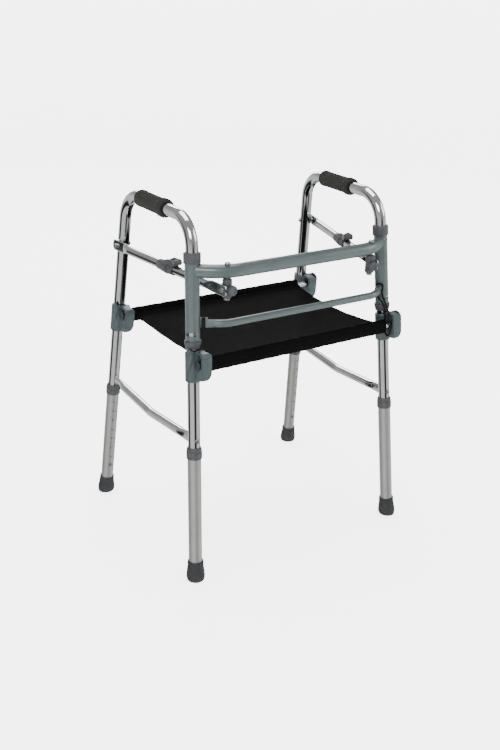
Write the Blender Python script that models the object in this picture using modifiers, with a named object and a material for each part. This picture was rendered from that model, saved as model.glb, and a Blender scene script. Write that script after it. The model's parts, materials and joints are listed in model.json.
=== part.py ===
"""Folding walker with a fabric seat that clips between its four legs.

Metres, +Z up, standing on the floor at z = 0. The two crossbars are at the front (-Y) and the user
stands at the rear (+Y), between two side frames. Each side frame is one bent tube that turns on
its front leg, inside a painted sleeve of the front frame, when the folding braces are unlocked.
"""
import bpy
import bmesh
from math import cos, pi, radians, sin, tan
from mathutils import Matrix, Vector

# Stance: the plane of each side frame, and the legs in it
HALF_WIDTH = 0.2712        # side frame to the middle plane, at the floor
HALF_DEPTH = 0.2184        # leg to the middle of the side frame, at the floor
SIDE_LEAN = radians(2.37)  # side frame leaning inward
TOE_OUT = radians(1.26)    # side frames standing wider at the rear
LEG_LEAN = radians(6.11)   # legs leaning to each other

# Upper tube of a side frame
TUBE_RADIUS = 0.0127
TUBE_WALL = 0.0012
HANDLE_HEIGHT = 0.7667
HANDLE_BEND = 0.062
TUBE_END = 0.060           # height of the tube's lower ends

# Sliding lower legs
LEG_WALL = 0.0012
LEG_CLEARANCE = 0.0004     # between the two tubes of a leg
LEG_TOP = 0.2865
LEG_END = 0.010            # height of the tube's end inside the tip
HOLE_PITCH = 0.0254
HOLE_COUNT = 8
HOLE_RADIUS = 0.0041
BUTTON_HEIGHT = 0.0805
BUTTON_RADIUS = 0.0036
BUTTON_REACH = 0.0033      # how far the button stands out of the lower tube
COLLAR_RADIUS = 0.0165
COLLAR_BOTTOM = 0.2745
COLLAR_TOP = 0.2990
TIP_HEIGHT = 0.042
TIP_FOOT_RADIUS = 0.0200
TIP_NECK_RADIUS = 0.0172

# Front frame
SLEEVE_RADIUS = 0.0150
SLEEVE_WALL = 0.0018
SLEEVE_BOTTOM = 0.526
SLEEVE_TOP = 0.681
RING_RADIUS = 0.0176
UPPER_RING_HEIGHT = 0.0220
LOWER_RING_HEIGHT = 0.0165
UPPER_BAR_HEIGHT = 0.667
UPPER_BAR_RADIUS = 0.0140
UPPER_BAR_WALL = 0.0015
UPPER_BAR_Y = -0.1855
UPPER_BAR_HALF_RUN = 0.187
UPPER_BAR_BEND = 0.110
LOWER_BAR_HEIGHT = 0.562
LOWER_BAR_RADIUS = 0.0095
LOWER_BAR_Y = -0.1950
LOWER_BAR_HALF_RUN = 0.188
LOWER_BAR_BEND = 0.050
LUG_LENGTH = 0.0160
LUG_THICKNESS = 0.0045
LUG_HEIGHT = 0.0210

# Folding braces
BRACE_RADIUS = 0.0095
BRACE_FLAT = 0.0046        # thickness where a brace is flattened
BRACE_FLAT_HEIGHT = 0.0240
BRACE_REAR_Z = 0.6474
BRACE_OFFSET = 0.0024      # between the rear leg and the flattened end
SWIVEL_X = 0.1816
SWIVEL_Y = -0.1845
SWIVEL_Z = 0.6310          # middle of the swivel block
BLOCK_WIDTH = 0.0214       # twice the reach of the block's flat side
BLOCK_RADIUS = 0.0098
BLOCK_HEIGHT = 0.0360
PAD_DEPTH = 0.0150
BOSS_RADIUS = 0.0105
BOSS_REACH = 0.0200
BRACE_FLAT_LENGTH = 0.0360
BRACE_TAPER = 0.0220
SPLIT_ALONG = 0.1670       # rear pin to the break between the two halves
PIN_ALONG = 0.2000         # rear pin to the knuckle pin
PIN_RISE = 0.0165          # knuckle pin above the brace's middle line
KNUCKLE_RADIUS = 0.0130
KNUCKLE_GAP = 0.0006
COLLAR_LENGTH = 0.0410
EAR_RADIUS = 0.0065
EAR_HALF_WIDTH = 0.0072
CHEEK_THICKNESS = 0.0030
CHEEK_GAP = 0.0005
BOLT_RADIUS = 0.0032

# Side braces, bolted low between the legs
SIDE_BRACE_RADIUS = 0.0095
SIDE_BRACE_END_Z = 0.3140
SIDE_BRACE_MIDDLE_Z = 0.3000

# Seat clips, in the leg's own directions: x to the right, y to the rear, z up the leg
CLIP_BOTTOM = 0.4410
CLIP_HEIGHT = 0.0610
CLIP_RADIUS = 0.0167
HOOK_LEFT = -0.0050
HOOK_WIDTH = 0.0230
HOOK_FRONT = -0.0455
HOOK_WALL = 0.0060
HOOK_LOW = 0.0090
HOOK_HIGH = 0.0570
HOOK_CORNER = 0.0100
HOOK_RISER = 0.0045        # how far the hook's rear wall stands above its front wall
LUG_X = 0.0065             # the latch's lug, in the middle of the hook
LATCH_LUG_WIDTH = 0.0056
LATCH_LUG_RADIUS = 0.0035
LATCH_HEIGHT = 0.0090
LATCH_PIN_RADIUS = 0.0020
LATCH_PIN_Y = -0.0168
LATCH_PIN_Z = 0.0640
PADDLE_RADIUS = 0.0219     # outer side of the thumb paddle, which curves round the leg
PADDLE_THICKNESS = 0.0024
PADDLE_TURN = 204          # where the paddle faces, in degrees from +x
PADDLE_LOW = 0.0290
PADDLE_LENGTH = 0.0420
PADDLE_WIDTH = 0.0190

# Seat
ROD_RADIUS = 0.0075
ROD_SLOT_GAP = 0.0010      # round the rod in its slot
SLOT_FLARE = 0.0016        # how much each side of a slot opens toward its mouth
ROD_HEIGHT = 0.4840
ROD_CAP_RADIUS = 0.0095
ROD_CAP_LENGTH = 0.0045
ROD_END_GAP = 0.0012       # between a hook and the plug on the rod's end
HEM_HALF_HEIGHT = 0.0170
HEM_HALF_DEPTH = 0.0092
HEM_EXIT = 14              # where the sheet leaves a hem, in degrees above its middle
HEM_END_GAP = 0.0025       # between the hems and the left-hand hooks
CLOTH_WIDTH = 0.4530
CLOTH_THICKNESS = 0.0020
SEAT_SAG = 0.0120
EDGE_DRAW_IN = 0.0050

# Grips and tether
GRIP_RADIUS = 0.0178
GRIP_FRONT = -0.0370
GRIP_REAR = 0.0720
GRIP_FLANGE = 0.0200
TETHER_RADIUS = 0.0016
TETHER_ALONG = 0.0210      # from the front leg to where the loop crosses the lower crossbar
TETHER_OFFSET = 0.0075     # from the seat cloth to where the loop goes round the rod

GAP = 0.0003               # left between pieces that touch
SIDES = {"left": -1, "right": 1}
ENDS = {"front": -1, "rear": 1}
ROUND = 16                 # facets round a turned piece
TUBE_BEVEL = 5             # curve resolution that gives a tube 14 sides

LEG_SLOPE = tan(LEG_LEAN)
ROD_Y = HOOK_FRONT + HOOK_WALL + ROD_RADIUS + ROD_SLOT_GAP
LEG_BORE = TUBE_RADIUS + LEG_CLEARANCE
LEG_RADIUS = LEG_BORE + LEG_WALL

parts = bpy.data.collections.new("walker_with_seat")
cutters = bpy.data.collections.new("cutters")


def material(name, colour, roughness, metallic=0.0):
    """A Principled material from an sRGB colour written as six hex digits."""
    made = bpy.data.materials.new(name)
    made.use_nodes = True
    shader = made.node_tree.nodes["Principled BSDF"]
    channels = [int(colour[i:i + 2], 16) / 255 for i in (0, 2, 4)]
    linear = [c / 12.92 if c <= 0.04045 else ((c + 0.055) / 1.055) ** 2.4 for c in channels]
    shader.inputs["Base Color"].default_value = (*linear, 1)
    shader.inputs["Roughness"].default_value = roughness
    shader.inputs["Metallic"].default_value = metallic
    return made


def side_point(side, y, z):
    """The point of a side frame's plane at this depth and height; side is -1 or 1."""
    return Vector((side * (HALF_WIDTH - tan(SIDE_LEAN) * z + tan(TOE_OUT) * y), y, z))


def leg_point(side, end, z):
    """The point of a leg's axis at this height; end is -1 for a front leg and 1 for a rear leg."""
    return side_point(side, end * (HALF_DEPTH - LEG_SLOPE * z), z)


LEG_STRETCH = (leg_point(1, 1, 1.0) - leg_point(1, 1, 0.0)).length


def frame(origin, up, forward=Vector((0, -1, 0))):
    """A matrix at origin whose z is up and whose -y points as nearly forward as it can."""
    z_axis = up.normalized()
    x_axis = z_axis.cross(forward).normalized()
    y_axis = z_axis.cross(x_axis)
    made = Matrix((x_axis, y_axis, z_axis)).transposed().to_4x4()
    made.translation = origin
    return made


def leg_frame(side, end, z, forward=Vector((0, -1, 0))):
    """A matrix on a leg's axis, with z up the leg and -y to the front."""
    up = leg_point(side, end, 1.0) - leg_point(side, end, 0.0)
    return frame(leg_point(side, end, z), up, forward)


def finish(made, name, surface, parent=None):
    """Names a new object, gives it its material and collection, and hangs it on its empty."""
    made.name = name
    made.data.name = name
    made.data.materials.clear()
    made.data.materials.append(surface)
    if any(step.type == "BOOLEAN" for step in made.modifiers):
        weld = made.modifiers.new("weld", "WELD")
        weld.merge_threshold = 0.00002
    for collection in list(made.users_collection):
        collection.objects.unlink(made)
    parts.objects.link(made)
    if parent is not None:
        made.parent = parent
        made.matrix_parent_inverse = pivots[parent.name].inverted()
    return made


def as_cutter(made, name):
    """Turns a new object into a hidden operand of a Boolean."""
    made.name = name
    for collection in list(made.users_collection):
        collection.objects.unlink(made)
    cutters.objects.link(made)
    made.hide_render = True
    made.display_type = "WIRE"
    return made


def new_object(mesh, matrix):
    made = bpy.data.objects.new(mesh.name, mesh)
    made.matrix_world = matrix
    bpy.context.scene.collection.objects.link(made)
    return made


def boolean(target, operand, operation="DIFFERENCE"):
    """Cuts target with a cutter, or joins the cutter to it."""
    step = target.modifiers.new(operand.name, "BOOLEAN")
    step.operation = operation
    step.object = operand
    return target


def smooth(mesh, angle=radians(35)):
    mesh.shade_smooth()
    mesh.set_sharp_from_angle(angle=angle)


def turned(profile, matrix, facets=ROUND, closed=False):
    """Revolves (radius, height) points, listed down the outer side, about the matrix's z."""
    mesh = bpy.data.meshes.new("turned")
    build = bmesh.new()
    ring = [build.verts.new((radius, 0, height)) for radius, height in profile]
    for first, second in zip(ring, ring[1:]):
        build.edges.new((first, second))
    if closed:
        build.edges.new((ring[-1], ring[0]))
    build.to_mesh(mesh)
    build.free()
    made = new_object(mesh, matrix)
    screw = made.modifiers.new("revolve", "SCREW")
    screw.steps = facets
    screw.render_steps = facets
    screw.use_merge_vertices = True
    screw.merge_threshold = 0.00001
    screw.use_smooth_shade = True
    return baked(made)


def baked(made):
    """Replaces an object by a plain mesh of its evaluated shape."""
    bpy.context.view_layer.update()
    evaluated = made.evaluated_get(bpy.context.evaluated_depsgraph_get())
    mesh = bpy.data.meshes.new_from_object(evaluated)
    weld = bmesh.new()
    weld.from_mesh(mesh)
    bmesh.ops.remove_doubles(weld, verts=weld.verts, dist=0.00001)
    bmesh.ops.recalc_face_normals(weld, faces=weld.faces)
    weld.to_mesh(mesh)
    weld.free()
    result = new_object(mesh, made.matrix_world.copy())
    bpy.data.objects.remove(made)
    smooth(mesh)
    return result


def ring_profile(outer, inner, bottom, top, chamfer=0.0008):
    """The closed profile of a plain ring with eased outer edges."""
    return [
        (inner, top),
        (outer - chamfer, top),
        (outer, top - chamfer),
        (outer, bottom + chamfer),
        (outer - chamfer, bottom),
        (inner, bottom),
    ]


def rod(radius, bottom, top, matrix, facets=ROUND):
    """A plain cylinder along the matrix's z."""
    return turned([(0, top), (radius, top), (radius, bottom), (0, bottom)], matrix, facets)


def box(size, centre, matrix, bevel=0.0):
    """A block in the matrix's directions, with rounded edges if bevel is given."""
    mesh = bpy.data.meshes.new("box")
    build = bmesh.new()
    bmesh.ops.create_cube(build, size=1.0)
    bmesh.ops.scale(build, vec=size, verts=build.verts)
    bmesh.ops.translate(build, vec=centre, verts=build.verts)
    if bevel:
        bmesh.ops.bevel(
            build, geom=build.edges[:], offset=bevel, segments=1, profile=0.5, affect="EDGES"
        )
    build.to_mesh(mesh)
    build.free()
    smooth(mesh)
    return new_object(mesh, matrix)


def extruded(outline, half_thickness, matrix, rounding=0.0):
    """A flat outline, in the matrix's x and y, made solid to both sides along its z."""
    curve = bpy.data.curves.new("outline", "CURVE")
    curve.dimensions = "2D"
    curve.fill_mode = "BOTH"
    curve.extrude = half_thickness - rounding
    curve.bevel_depth = rounding
    curve.offset = -rounding
    curve.bevel_resolution = 1
    spline = curve.splines.new("POLY")
    spline.points.add(len(outline) - 1)
    for point, (x, y) in zip(spline.points, outline):
        point.co = (x, y, 0, 1)
    spline.use_cyclic_u = True
    return baked(new_curve_object(curve, matrix))


def new_curve_object(curve, matrix=Matrix()):
    made = bpy.data.objects.new("curve", curve)
    made.matrix_world = matrix
    bpy.context.scene.collection.objects.link(made)
    return made


def arc(centre, radius, start, stop, steps):
    """Points on an arc in the plane, angles in degrees."""
    angles = [radians(start + (stop - start) * i / steps) for i in range(steps + 1)]
    return [(centre[0] + radius * cos(a), centre[1] + radius * sin(a)) for a in angles]


def bent_path(corners, bends, steps=8):
    """Straight runs between corners, with an arc of the given radius at each inner corner."""
    path = [corners[0]]
    for before, corner, after, bend in zip(corners, corners[1:], corners[2:], bends):
        to_before = (before - corner).normalized()
        to_after = (after - corner).normalized()
        half = to_before.angle(to_after) / 2
        centre = corner + (to_before + to_after).normalized() * (bend / sin(half))
        start = corner + to_before * (bend / tan(half)) - centre
        stop = corner + to_after * (bend / tan(half)) - centre
        turn = start.angle(stop)
        for i in range(steps + 1):
            share = i / steps
            blend = start * sin((1 - share) * turn) + stop * sin(share * turn)
            path.append(centre + blend / sin(turn))
    path.append(corners[-1])
    return path


def swept(path, radius, bevel=TUBE_BEVEL, capped=True, closed=False):
    """A round bar or an open tube surface along a path."""
    curve = bpy.data.curves.new("sweep", "CURVE")
    curve.dimensions = "3D"
    curve.bevel_depth = radius
    curve.bevel_resolution = bevel
    curve.use_fill_caps = capped
    spline = curve.splines.new("POLY")
    spline.points.add(len(path) - 1)
    for point, place in zip(spline.points, path):
        point.co = (*place, 1)
    spline.use_cyclic_u = closed
    return baked(new_curve_object(curve))


def hollow(made, wall):
    """Gives an open tube surface its wall, inward."""
    shell = made.modifiers.new("wall", "SOLIDIFY")
    shell.thickness = wall
    shell.offset = -1
    return made


def flattened_bar(path, sections, thin):
    """Lofts a bar whose ends are pressed flat.

    Each section is (half thickness, half height); a round one has two equal values. The bar is
    thin along the given direction.
    """
    mesh = bpy.data.meshes.new("bar")
    build = bmesh.new()
    count = 16
    rings = []
    for i, (place, (half_thin, half_high)) in enumerate(zip(path, sections)):
        ahead = path[min(i + 1, len(path) - 1)] - path[max(i - 1, 0)]
        ahead.normalize()
        across = (thin - ahead * thin.dot(ahead)).normalized()
        up = ahead.cross(across)
        power = min(1.0, half_thin / half_high + 0.35)
        ring = []
        for k in range(count):
            angle = 2 * pi * (k + 0.5) / count
            x = abs(cos(angle)) ** power * (1 if cos(angle) > 0 else -1)
            y = sin(angle)
            ring.append(build.verts.new(place + across * x * half_thin + up * y * half_high))
        rings.append(ring)
    for first, second in zip(rings, rings[1:]):
        for k in range(count):
            after = (k + 1) % count
            build.faces.new((first[k], first[after], second[after], second[k]))
    build.faces.new(rings[0])
    build.faces.new(rings[-1])
    bmesh.ops.recalc_face_normals(build, faces=build.faces)
    build.to_mesh(mesh)
    build.free()
    smooth(mesh)
    return new_object(mesh, Matrix())


for old in list(bpy.data.objects):
    bpy.data.objects.remove(old)
bpy.context.scene.collection.children.link(parts)
bpy.context.scene.collection.children.link(cutters)

BRIGHT = material("bright_tube", "C9CACB", 0.12, 1.0)
ALUMINIUM = material("satin_aluminium", "A8A8A5", 0.38, 1.0)
PAINT = material("grey_green_paint", "707C7C", 0.35)
CLIP_PLASTIC = material("blue_grey_plastic", "566A72", 0.45)
GREY_PLASTIC = material("grey_plastic", "62656B", 0.5)
ZINC = material("zinc_plated_steel", "8C8C88", 0.3, 1.0)
RUBBER = material("grey_rubber", "454B50", 0.75)
FOAM = material("dark_foam", "45453F", 0.9)
FABRIC = material("black_fabric", "151515", 0.95)
CORD = material("black_elastic_cord", "1A1A1A", 0.8)

pivots = {}


def pivot(name, matrix, parent=None):
    """An empty on a joint's axis, whose z is the axis."""
    made = bpy.data.objects.new(name, None)
    made.empty_display_size = 0.03
    parts.objects.link(made)
    if parent is not None:
        made.parent = parent
        made.matrix_parent_inverse = pivots[parent.name].inverted()
    made.matrix_basis = matrix
    pivots[made.name] = matrix
    return made


def leg_piece(name, end_name, side_name):
    """The name of one of the four pieces that are alike, such as rubber_tip_front_left."""
    return f"{name}_{end_name}_{side_name}"


def make_side_tube(side_name, parent):
    """The bent upper tube: front leg, handle and rear leg in one piece."""
    side = SIDES[side_name]
    corner_y = HALF_DEPTH - LEG_SLOPE * HANDLE_HEIGHT
    corners = [
        leg_point(side, -1, TUBE_END),
        side_point(side, -corner_y, HANDLE_HEIGHT),
        side_point(side, corner_y, HANDLE_HEIGHT),
        leg_point(side, 1, TUBE_END),
    ]
    path = bent_path(corners, [HANDLE_BEND, HANDLE_BEND], 6)
    tube = hollow(swept(path, TUBE_RADIUS, capped=False), TUBE_WALL)
    for end_name, end in ENDS.items():
        facing = Vector((0, -end, 0))
        hole = rod(HOLE_RADIUS, 0.006, 0.020, button_frame(side, end, facing), 10)
        boolean(tube, as_cutter(hole, leg_piece("cut_button", end_name, side_name)))
    bolt_hole = rod(BOLT_RADIUS + GAP, -0.020, 0.020, brace_bolt_frame(side), 12)
    boolean(tube, as_cutter(bolt_hole, f"cut_brace_bolt_{side_name}"))
    return finish(tube, f"handle_tube_{side_name}", BRIGHT, parent)


def button_frame(side, end, facing):
    """At a button's height on a leg, with z pointing out through the hole."""
    leg = leg_frame(side, end, BUTTON_HEIGHT)
    up = leg.to_3x3().col[2]
    outward = (facing - up * facing.dot(up)).normalized()
    return frame(leg.translation, outward, up)


def make_lower_leg(side_name, end_name, parent):
    """The sliding leg tube, with its row of height holes facing along the walker."""
    side = SIDES[side_name]
    end = ENDS[end_name]
    place = leg_frame(side, end, 0)
    bottom = LEG_END * LEG_STRETCH
    top = LEG_TOP * LEG_STRETCH
    profile = [(LEG_RADIUS, top), (LEG_RADIUS, bottom), (LEG_BORE, bottom), (LEG_BORE, top)]
    tube = turned(profile, place, closed=True)
    base = button_frame(side, end, Vector((0, -end, 0)))
    up = place.to_3x3().col[2]
    for i in range(HOLE_COUNT):
        centre = base.copy()
        centre.translation = base.translation + up * (HOLE_PITCH * i)
        bit = rod(HOLE_RADIUS, 0.006, 0.020, centre, 8)
        name = leg_piece(f"cut_hole_{i}", end_name, side_name)
        boolean(tube, as_cutter(bit, name))
    return finish(tube, leg_piece("lower_leg", end_name, side_name), ALUMINIUM, parent)


def make_collar(side_name, end_name, parent):
    """The plastic collar pressed on the lower leg, which guides the upper tube."""
    place = leg_frame(SIDES[side_name], ENDS[end_name], 0)
    bottom = COLLAR_BOTTOM * LEG_STRETCH
    top = COLLAR_TOP * LEG_STRETCH
    shoulder = LEG_TOP * LEG_STRETCH + GAP
    profile = [
        (LEG_BORE, top),
        (COLLAR_RADIUS - 0.0022, top),
        (COLLAR_RADIUS - 0.0008, top - 0.0012),
        (COLLAR_RADIUS, top - 0.0080),
        (COLLAR_RADIUS, bottom + 0.0008),
        (COLLAR_RADIUS - 0.0008, bottom),
        (LEG_RADIUS + GAP, bottom),
        (LEG_RADIUS + GAP, shoulder),
        (LEG_BORE, shoulder),
    ]
    ring = turned(profile, place, closed=True)
    return finish(ring, leg_piece("collar", end_name, side_name), GREY_PLASTIC, parent)


def make_tip(side_name, end_name, parent):
    """The rubber tip, turned on the leg's axis and cut flat on the floor."""
    place = leg_frame(SIDES[side_name], ENDS[end_name], 0)
    top = TIP_HEIGHT * LEG_STRETCH
    bore = LEG_RADIUS + GAP
    seat = LEG_END * LEG_STRETCH - GAP
    low = -TIP_FOOT_RADIUS * 0.15
    profile = [
        (0, seat),
        (bore, seat),
        (bore, top),
        (TIP_NECK_RADIUS - 0.0010, top),
        (TIP_NECK_RADIUS, top - 0.0010),
        (TIP_NECK_RADIUS, top - 0.0080),
        (TIP_NECK_RADIUS + 0.0012, top - 0.0100),
        (TIP_FOOT_RADIUS, low + 0.0140),
        (TIP_FOOT_RADIUS, low + 0.0070),
        (TIP_FOOT_RADIUS - 0.0030, low),
        (0, low),
    ]
    tip = turned(profile, place)
    under = Matrix.Translation((place.translation.x, place.translation.y, 0))
    floor = box((0.2, 0.2, 0.02), (0, 0, -0.01), under)
    name = leg_piece("rubber_tip", end_name, side_name)
    boolean(tip, as_cutter(floor, f"floor_under_{name}"))
    return finish(tip, name, RUBBER, parent)


def make_button(side_name, end_name, parent):
    """The snap button, domed, on its folded leaf spring inside the upper tube."""
    side = SIDES[side_name]
    end = ENDS[end_name]
    base = button_frame(side, end, Vector((0, -end, 0)))
    reach = LEG_RADIUS + BUTTON_REACH
    leaf_at = 0.0078
    profile = [
        (0, reach),
        (BUTTON_RADIUS * 0.5, reach - 0.0003),
        (BUTTON_RADIUS * 0.87, reach - 0.0011),
        (BUTTON_RADIUS, reach - 0.0023),
        (BUTTON_RADIUS, leaf_at - 0.0002),
        (0, leaf_at - 0.0002),
    ]
    button = turned(profile, base, 12)
    middle = (leaf_at - 0.0065, 0.028)
    strip = 0.0004
    outer = 0.0065 + strip
    inner = 0.0065 - strip
    outline = [(middle[0] + outer, -0.010)]
    outline += arc(middle, outer, 0, 180, 6)
    outline += [(middle[0] - outer, -0.004), (middle[0] - inner, -0.004)]
    outline += arc(middle, inner, 180, 0, 6)
    outline += [(middle[0] + inner, -0.010)]
    radial = base.to_3x3().col[2]
    up = -base.to_3x3().col[1]
    plane = Matrix((radial, up, radial.cross(up))).transposed().to_4x4()
    plane.translation = base.translation
    spring = extruded(outline, 0.0035, plane)
    boolean(button, as_cutter(spring, leg_piece("leaf_spring", end_name, side_name)), "UNION")
    return finish(button, leg_piece("snap_button", end_name, side_name), ZINC, parent)


def make_grip(side_name, parent):
    """The foam grip on the handle, with its flange at the front end."""
    side = SIDES[side_name]
    start = side_point(side, GRIP_REAR, HANDLE_HEIGHT)
    stop = side_point(side, GRIP_FRONT, HANDLE_HEIGHT)
    length = (stop - start).length
    place = frame(start, stop - start, Vector((0, 0, 1)))
    bore = TUBE_RADIUS + GAP
    profile = [
        (bore, length),
        (GRIP_FLANGE - 0.0016, length),
        (GRIP_FLANGE, length - 0.0016),
        (GRIP_FLANGE, length - 0.0050),
        (GRIP_FLANGE - 0.0012, length - 0.0066),
        (GRIP_RADIUS, length - 0.0072),
        (GRIP_RADIUS, 0.0140),
        (GRIP_RADIUS + 0.0008, 0.0080),
        (GRIP_RADIUS + 0.0002, 0.0026),
        (GRIP_RADIUS - 0.0024, 0),
        (bore, 0),
    ]
    grip = turned(profile, place, closed=True)
    return finish(grip, f"foam_grip_{side_name}", FOAM, parent)


def make_side_brace(side_name, parent):
    """The low brace, slightly bent down, its ends pressed oval and saddled on the two legs."""
    side = SIDES[side_name]
    front = leg_point(side, -1, SIDE_BRACE_END_Z)
    rear = leg_point(side, 1, SIDE_BRACE_END_Z)
    middle = side_point(side, 0, SIDE_BRACE_MIDDLE_Z)
    oval = (SIDE_BRACE_RADIUS * 0.62, SIDE_BRACE_RADIUS * 1.16)
    rounded = (SIDE_BRACE_RADIUS, SIDE_BRACE_RADIUS)
    path = [front]
    sections = [oval]
    for share, section in ((0.14, oval), (0.30, rounded)):
        path.append(front.lerp(middle, share))
        sections.append(section)
    bend = bent_path([front, middle, rear], [0.12], 3)[1:-1]
    path += bend
    sections += [rounded] * len(bend)
    for share, section in ((0.70, rounded), (0.86, oval)):
        path.append(middle.lerp(rear, share))
        sections.append(section)
    path.append(rear)
    sections.append(oval)
    across = side_point(side, 0.1, 0) - side_point(side, 0, 0)
    thin = across.cross(middle - side_point(side, 0, 0)).normalized()
    brace = flattened_bar(path, sections, thin)
    for end_name, end in ENDS.items():
        seat = leg_frame(side, end, SIDE_BRACE_END_Z)
        saddle = rod(TUBE_RADIUS + GAP, -0.03, 0.03, seat)
        boolean(brace, as_cutter(saddle, leg_piece("brace_saddle", end_name, side_name)))
    return finish(brace, f"side_brace_{side_name}", BRIGHT, parent)


def make_sleeve(side_name):
    """The painted sleeve that turns on the front leg, with the lug for the lower crossbar."""
    side = SIDES[side_name]
    place = leg_frame(side, -1, SLEEVE_BOTTOM)
    length = (SLEEVE_TOP - SLEEVE_BOTTOM) * LEG_STRETCH
    bore = SLEEVE_RADIUS - SLEEVE_WALL
    sleeve = turned(ring_profile(SLEEVE_RADIUS, bore, 0, length, 0.0004), place, closed=True)
    lug_place = lug_frame(side)
    middle = (SLEEVE_RADIUS - 0.5 * SLEEVE_WALL + LUG_LENGTH / 2, 0, 0)
    lug = box((LUG_LENGTH, LUG_THICKNESS, LUG_HEIGHT), middle, lug_place, 0.0010)
    boolean(sleeve, as_cutter(lug, f"lug_{side_name}"), "UNION")
    return finish(sleeve, f"front_sleeve_{side_name}", PAINT)


def lower_bar_end(side):
    """The direction of the lower crossbar's pressed end and the end of its middle line."""
    axis = leg_point(side, -1, LOWER_BAR_HEIGHT)
    corner = Vector((side * LOWER_BAR_HALF_RUN, LOWER_BAR_Y, LOWER_BAR_HEIGHT))
    beside = (LUG_THICKNESS + BRACE_FLAT) / 2 + GAP
    along = (axis - corner).normalized()
    for _ in range(8):
        forward = Vector((along.y * side, -along.x * side, 0))
        aim = axis + forward * beside
        along = (aim - corner).normalized()
    stop = aim - along * (SLEEVE_RADIUS + 0.0016)
    return corner, along, stop


def lug_frame(side):
    """On the sleeve's axis, with x pointing along the lug to the crossbar."""
    corner, along, stop = lower_bar_end(side)
    outward = -along
    up = Vector((0, 0, 1))
    made = Matrix((outward, up.cross(outward), up)).transposed().to_4x4()
    made.translation = leg_point(side, -1, LOWER_BAR_HEIGHT)
    return made


def make_sleeve_rings(side_name):
    """The plastic rings that close the gap between sleeve and leg, above and below."""
    side = SIDES[side_name]
    bore = TUBE_RADIUS + LEG_CLEARANCE
    top = leg_frame(side, -1, SLEEVE_TOP)
    upper = ring_profile(RING_RADIUS, bore, GAP, UPPER_RING_HEIGHT, 0.0012)
    finish(turned(upper, top, closed=True), f"upper_ring_{side_name}", GREY_PLASTIC)
    bottom = leg_frame(side, -1, SLEEVE_BOTTOM)
    low = -LOWER_RING_HEIGHT
    lower = [
        (bore, -GAP),
        (RING_RADIUS - 0.0008, -GAP),
        (RING_RADIUS, -0.0012),
        (RING_RADIUS - 0.0004, low * 0.45),
        (RING_RADIUS - 0.0022, low + 0.0008),
        (RING_RADIUS - 0.0030, low),
        (bore, low),
    ]
    finish(turned(lower, bottom, closed=True), f"lower_ring_{side_name}", GREY_PLASTIC)


def make_upper_crossbar():
    """The upper tube of the front frame, swept back at both ends and saddled on the sleeves."""
    corners = [leg_point(-1, -1, UPPER_BAR_HEIGHT)]
    corners += [Vector((side * UPPER_BAR_HALF_RUN, UPPER_BAR_Y, UPPER_BAR_HEIGHT)) for side in (-1, 1)]
    corners += [leg_point(1, -1, UPPER_BAR_HEIGHT)]
    path = bent_path(corners, [UPPER_BAR_BEND, UPPER_BAR_BEND], 4)
    bar = hollow(swept(path, UPPER_BAR_RADIUS, capped=False), UPPER_BAR_WALL)
    for side_name, side in SIDES.items():
        saddle = rod(SLEEVE_RADIUS + GAP, -0.04, 0.04, leg_frame(side, -1, UPPER_BAR_HEIGHT))
        boolean(bar, as_cutter(saddle, f"bar_saddle_{side_name}"))
        place = Matrix.Translation((side * SWIVEL_X, SWIVEL_Y, UPPER_BAR_HEIGHT))
        hole = rod(BOLT_RADIUS + GAP, -0.03, 0.03, place, 12)
        boolean(bar, as_cutter(hole, f"bar_bolt_hole_{side_name}"))
    return finish(bar, "upper_crossbar", PAINT)


def make_lower_crossbar():
    """The thin lower bar, its ends turned back and pressed flat against the lugs."""
    path = []
    sections = []
    flat = (BRACE_FLAT / 2, LUG_HEIGHT / 2)
    rounded = (LOWER_BAR_RADIUS, LOWER_BAR_RADIUS)
    left_corner, left_along, left_stop = lower_bar_end(-1)
    right_corner, right_along, right_stop = lower_bar_end(1)
    for distance, section in ((0, flat), (0.016, flat), (0.030, rounded)):
        path.append(left_stop - left_along * distance)
        sections.append(section)
    bends = bent_path([left_stop, left_corner, right_corner, right_stop], [LOWER_BAR_BEND] * 2, 4)[1:-1]
    path += bends
    sections += [rounded] * len(bends)
    for distance, section in ((0.030, rounded), (0.016, flat), (0, flat)):
        path.append(right_stop - right_along * distance)
        sections.append(section)
    bar = flattened_bar(path, sections, Vector((0, 1, 0)))
    return finish(bar, "lower_crossbar", PAINT)


def brace_frame(side):
    """On the rear pivot of a folding brace: x along the brace, z up, y across it."""
    leg = leg_point(side, 1, BRACE_REAR_Z)
    front = Vector((side * SWIVEL_X, SWIVEL_Y, SWIVEL_Z))
    reach = TUBE_RADIUS + BRACE_OFFSET + BRACE_FLAT / 2
    beside = BLOCK_WIDTH / 2 + 2 * GAP + BRACE_FLAT / 2
    along = (front - leg).normalized()
    up = Vector((0, 0, 1))
    for _ in range(8):
        outward = (along.cross(up) * -side).normalized()
        rear_pin = leg + outward * reach
        front_pin = front + outward * beside
        along = (front_pin - rear_pin).normalized()
    z_axis = (up - along * up.dot(along)).normalized()
    made = Matrix((along, z_axis.cross(along), z_axis)).transposed().to_4x4()
    made.translation = rear_pin
    return made, (front_pin - rear_pin).length


def brace_bolt_frame(side):
    """On the rear leg's axis at the brace's bolt, with z along the bolt, outboard."""
    place, _ = brace_frame(side)
    outward = place.to_3x3().col[1] * side
    origin = place.translation - outward * (TUBE_RADIUS + BRACE_OFFSET + BRACE_FLAT / 2)
    return frame(origin, outward, Vector((0, 0, 1)))


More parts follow.
